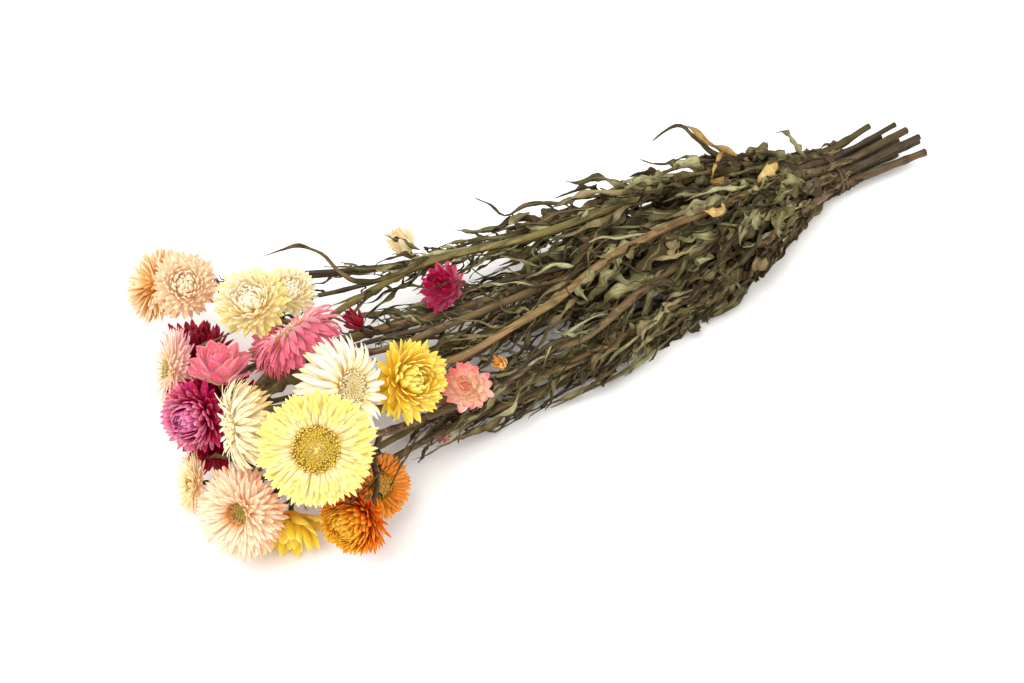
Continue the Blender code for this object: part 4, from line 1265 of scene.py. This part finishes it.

# %% [markdown]
# ## Leaves that stand out
# A few leaves break the outline, and these make the bunch recognisable: the long
# twisted one over the cream heads, the hooks at the top, the tendrils by the
# orange heads. Three broad dark brown ones close gaps deep between the heads and stand
# in for the shade there. Their lines are listed point by point, and the same blade is laid on them.

# %% Separate leaves
# For each: its route in mm, half width, roll and finish. Those that the imported model
# has too stand for its node of the same name.
STANDING_LEAVES = {
    "long_curl": (((-73, 36, 64), (-94, 31, 66), (-117, 33, 68), (-125, 40, 74), (-131, 51, 81),
                   (-140, 59, 84), (-151, 63, 83), (-158, 67, 79)), 2.4, 1.6, "leaf_brown"),
    "top_hook": (((143, 38, 38), (132, 40, 44), (121, 46, 51), (114, 53, 59), (109, 60, 65),
                  (101, 64, 61), (92, 65, 56)), 2.4, 1.2, "leaf_green"),
    "top_curl": (((59, 29, 60), (52, 40, 60), (46, 52, 58), (38, 58, 52), (32, 66, 50)),
                 2.6, 1.2, "leaf_green"),
    "tie_tip": (((188, 34, 24), (184, 42, 31), (182, 49, 37), (177, 54, 35)), 3.0, 1.7, "leaf_green"),
    "front_hook": (((30, -39, 26), (22, -46, 24), (16, -52, 20), (6, -54, 18), (-2, -50, 20)),
                   2.6, 1.4, "leaf_green"),
    "tendril_dark": (((-110, -50, 38), (-122, -58, 44), (-134, -68, 52), (-146, -82, 60),
                      (-158, -92, 62), (-166, -97, 56)), 1.3, 2.2, "leaf_brown"),
    "pale_crisp": (((100, 0, 57), (96, -8, 60), (88, -12, 64), (80, -8, 66)), 3.8, 0.9, "leaf_pale"),
    "low_sweep": (((50, -36, 6), (30, -44, 7), (6, -50, 8), (-20, -53, 10), (-44, -52, 8)),
                  2.2, 1.5, "leaf_green"),
    "wine_twig": (((-172, 36, 70), (-182, 34, 70), (-195, 30, 72), (-207, 29, 72), (-212, 30, 71),
                   (-217, 33, 70)), 1.9, 1.9, "leaf_brown"),
    "golden_hook": (((150, 34, 40), (138, 36, 46), (127, 41, 53), (117, 42, 61), (113, 52, 66),
                     (109, 60, 66)), 2.8, 1.3, "leaf_pale"),
    "golden_slope": (((127, 40, 52), (122, 34, 56), (114, 27, 58), (107, 21, 59), (102, 16, 57)),
                     3.0, 1.4, "leaf_pale"),
    # under_pink, under_ivory and under_swept: broad dark leaves laid in the gaps between heads, standing
    # in for the shade deep there
    "under_pink": (((-156, 14, 56), (-173, 4, 60), (-189, -3, 62), (-202, -10, 62)), 6.5, 0.9,
                   "leaf_brown"),
    "under_ivory": (((-150, 4, 52), (-167, 0, 57), (-185, -6, 61), (-198, -11, 60)), 6.5, 0.6,
                    "leaf_brown"),
    "under_swept": (((-210, -39, 40), (-219, -31, 42), (-227, -22, 42), (-233, -15, 38)), 5.5, 1.0,
                    "leaf_brown"),
    "hanging_curl": (((-45, -44, 10), (-53, -45, 8), (-63, -45, 8), (-72, -49, 6), (-78, -50, 5),
                      (-84, -46, 6)), 1.8, 1.6, "leaf_green"),
    "high_curl": (((121, 34, 45), (111, 39, 50), (104, 45, 54), (89, 45, 54), (83, 53, 52),
                   (80, 59, 52)), 2.0, 1.5, "leaf_brown"),
    "low_hook": (((22, -38, 20), (29, -46, 16), (26, -50, 12), (21, -51, 10)), 1.8, 1.5, "leaf_green"),
    "pale_one": (((150, 14, 49), (143, 10, 54), (135, 9, 56), (129, 6, 53)), 5.0, 0.8, "leaf_pale"),
    "pale_two": (((116, 12, 52), (108, 13, 57), (102, 17, 58)), 4.4, 0.9, "leaf_pale"),
    "brown_curl": (((12, 37, 56), (7, 45, 60), (-4, 50, 60), (-16, 52, 56), (-22, 58, 62),
                    (-27, 68, 62)), 1.8, 1.7, "leaf_brown"),
    "edge_tip": (((-69, 56, 50), (-79, 61, 58), (-85, 70, 58)), 2.0, 1.5, "leaf_green"),
    "tan_tendril": (((-134, -59, 40), (-147, -71, 46), (-157, -77, 51), (-168, -84, 55), (-180, -92, 59),
                     (-191, -97, 63), (-199, -98, 66)), 1.0, 2.2, "leaf_brown"),
}
for number, (name, (route, half, roll, slot)) in enumerate(STANDING_LEAVES.items()):
    rng = np.random.default_rng(900 + number)
    line = smooth_route(route, 3.0)[None]
    blade_skin = blades(line, (0.2, 0.4, 0.9), np.array([half]), np.array([roll]), 0.35, 10,
                        np.array([0.5]), rng)
    node = "leaf_" + name
    nodes = (node,) if node in frame["nodes"] else ()
    make_piece(node + "_blade", [blade_skin], LEAF_FINISHES[slot], nodes)
print("standing leaves:", len(STANDING_LEAVES))

# %% [markdown]
# ## The rubber band
# The stems are held by a rubber band wound three times round them. It is stretched, so
# its path is the outline that a ruler would touch: in every direction, the stem
# that reaches farthest that way carries the band.

# %% Wind the band
BAND_TURNS = 3
BAND_SPACING = 1.9
BAND_HALF_WIDTH = 0.5
BAND_HALF_THICKNESS = 0.35
BAND_STEPS = 96
BAND_SIDES = 8


def wound_band(number):
    """One turn of the band as a closed ring of rings."""
    angle = round_angles(BAND_STEPS)
    out = np.stack((0 * angle, np.cos(angle), np.sin(angle)), -1)
    stems = np.array([tie_point(name, TIE_X) for name in TIE_SLOTS])
    farthest = np.argmax(stems @ out.T, axis=0)
    path = stems[farthest] + out * (STEM_RADIUS + GAP + BAND_HALF_THICKNESS)
    slant = 0.7 * np.sin(angle + number * 1.9)
    path[:, 0] = TIE_X + (number - (BAND_TURNS - 1) / 2) * BAND_SPACING + slant
    around = round_angles(BAND_SIDES)
    wide = (BAND_HALF_WIDTH * np.cos(around))[None, :, None] * np.array((1.0, 0, 0))
    thick = (BAND_HALF_THICKNESS * np.sin(around))[None, :, None] * out[:, None]
    points = path[:, None] + wide + thick
    grid = np.arange(BAND_STEPS * BAND_SIDES).reshape(BAND_STEPS, BAND_SIDES)
    ahead, beside = np.roll(grid, -1, 0), np.roll(grid, -1, 1)
    walls = np.stack((grid, beside, np.roll(beside, -1, 0), ahead), -1).reshape(-1, 4)
    numbers = {"u": np.tile(around / NEARLY_ROUND, BAND_STEPS),
               "v": np.repeat(angle / NEARLY_ROUND, BAND_SIDES)}
    return {"points": to_world(points).reshape(-1, 3), "faces": [walls[:, ::-1]], "numbers": numbers}


def aged_rubber():
    """Old brown rubber with a little bloom on it."""
    material, tree, shader = start_material("aged_rubber", 0.55)
    place = object_place(tree)
    bloom = noise(tree, place, 320.0, 4.0)
    colour = ramp(tree, bloom, ((0.3, (62, 46, 28)), (0.7, (92, 72, 44))))
    tree.links.new(colour, shader.inputs["Base Color"])
    add_bump(tree, shader, noise(tree, place, 1600.0, 3.0), 0.3, 0.0003)
    return material


make_piece("rubber_band_turns", [wound_band(number) for number in range(BAND_TURNS)],
           aged_rubber(), ("rubber_tie",))
print("band turns:", BAND_TURNS)

# %% [markdown]
# ## Count the triangles
# The triangles of every mesh that renders are counted and printed. The fine
# surface has to stay inside the imported model's box, give or take a few
# millimetres.

# %% Count the triangles
triangles = 0
for thing in bpy.data.objects:
    if thing.type == "MESH" and not thing.hide_render:
        triangles += sum(len(polygon.vertices) - 2 for polygon in thing.data.polygons)
print("triangles:", triangles)
bpy.context.view_layer.update()
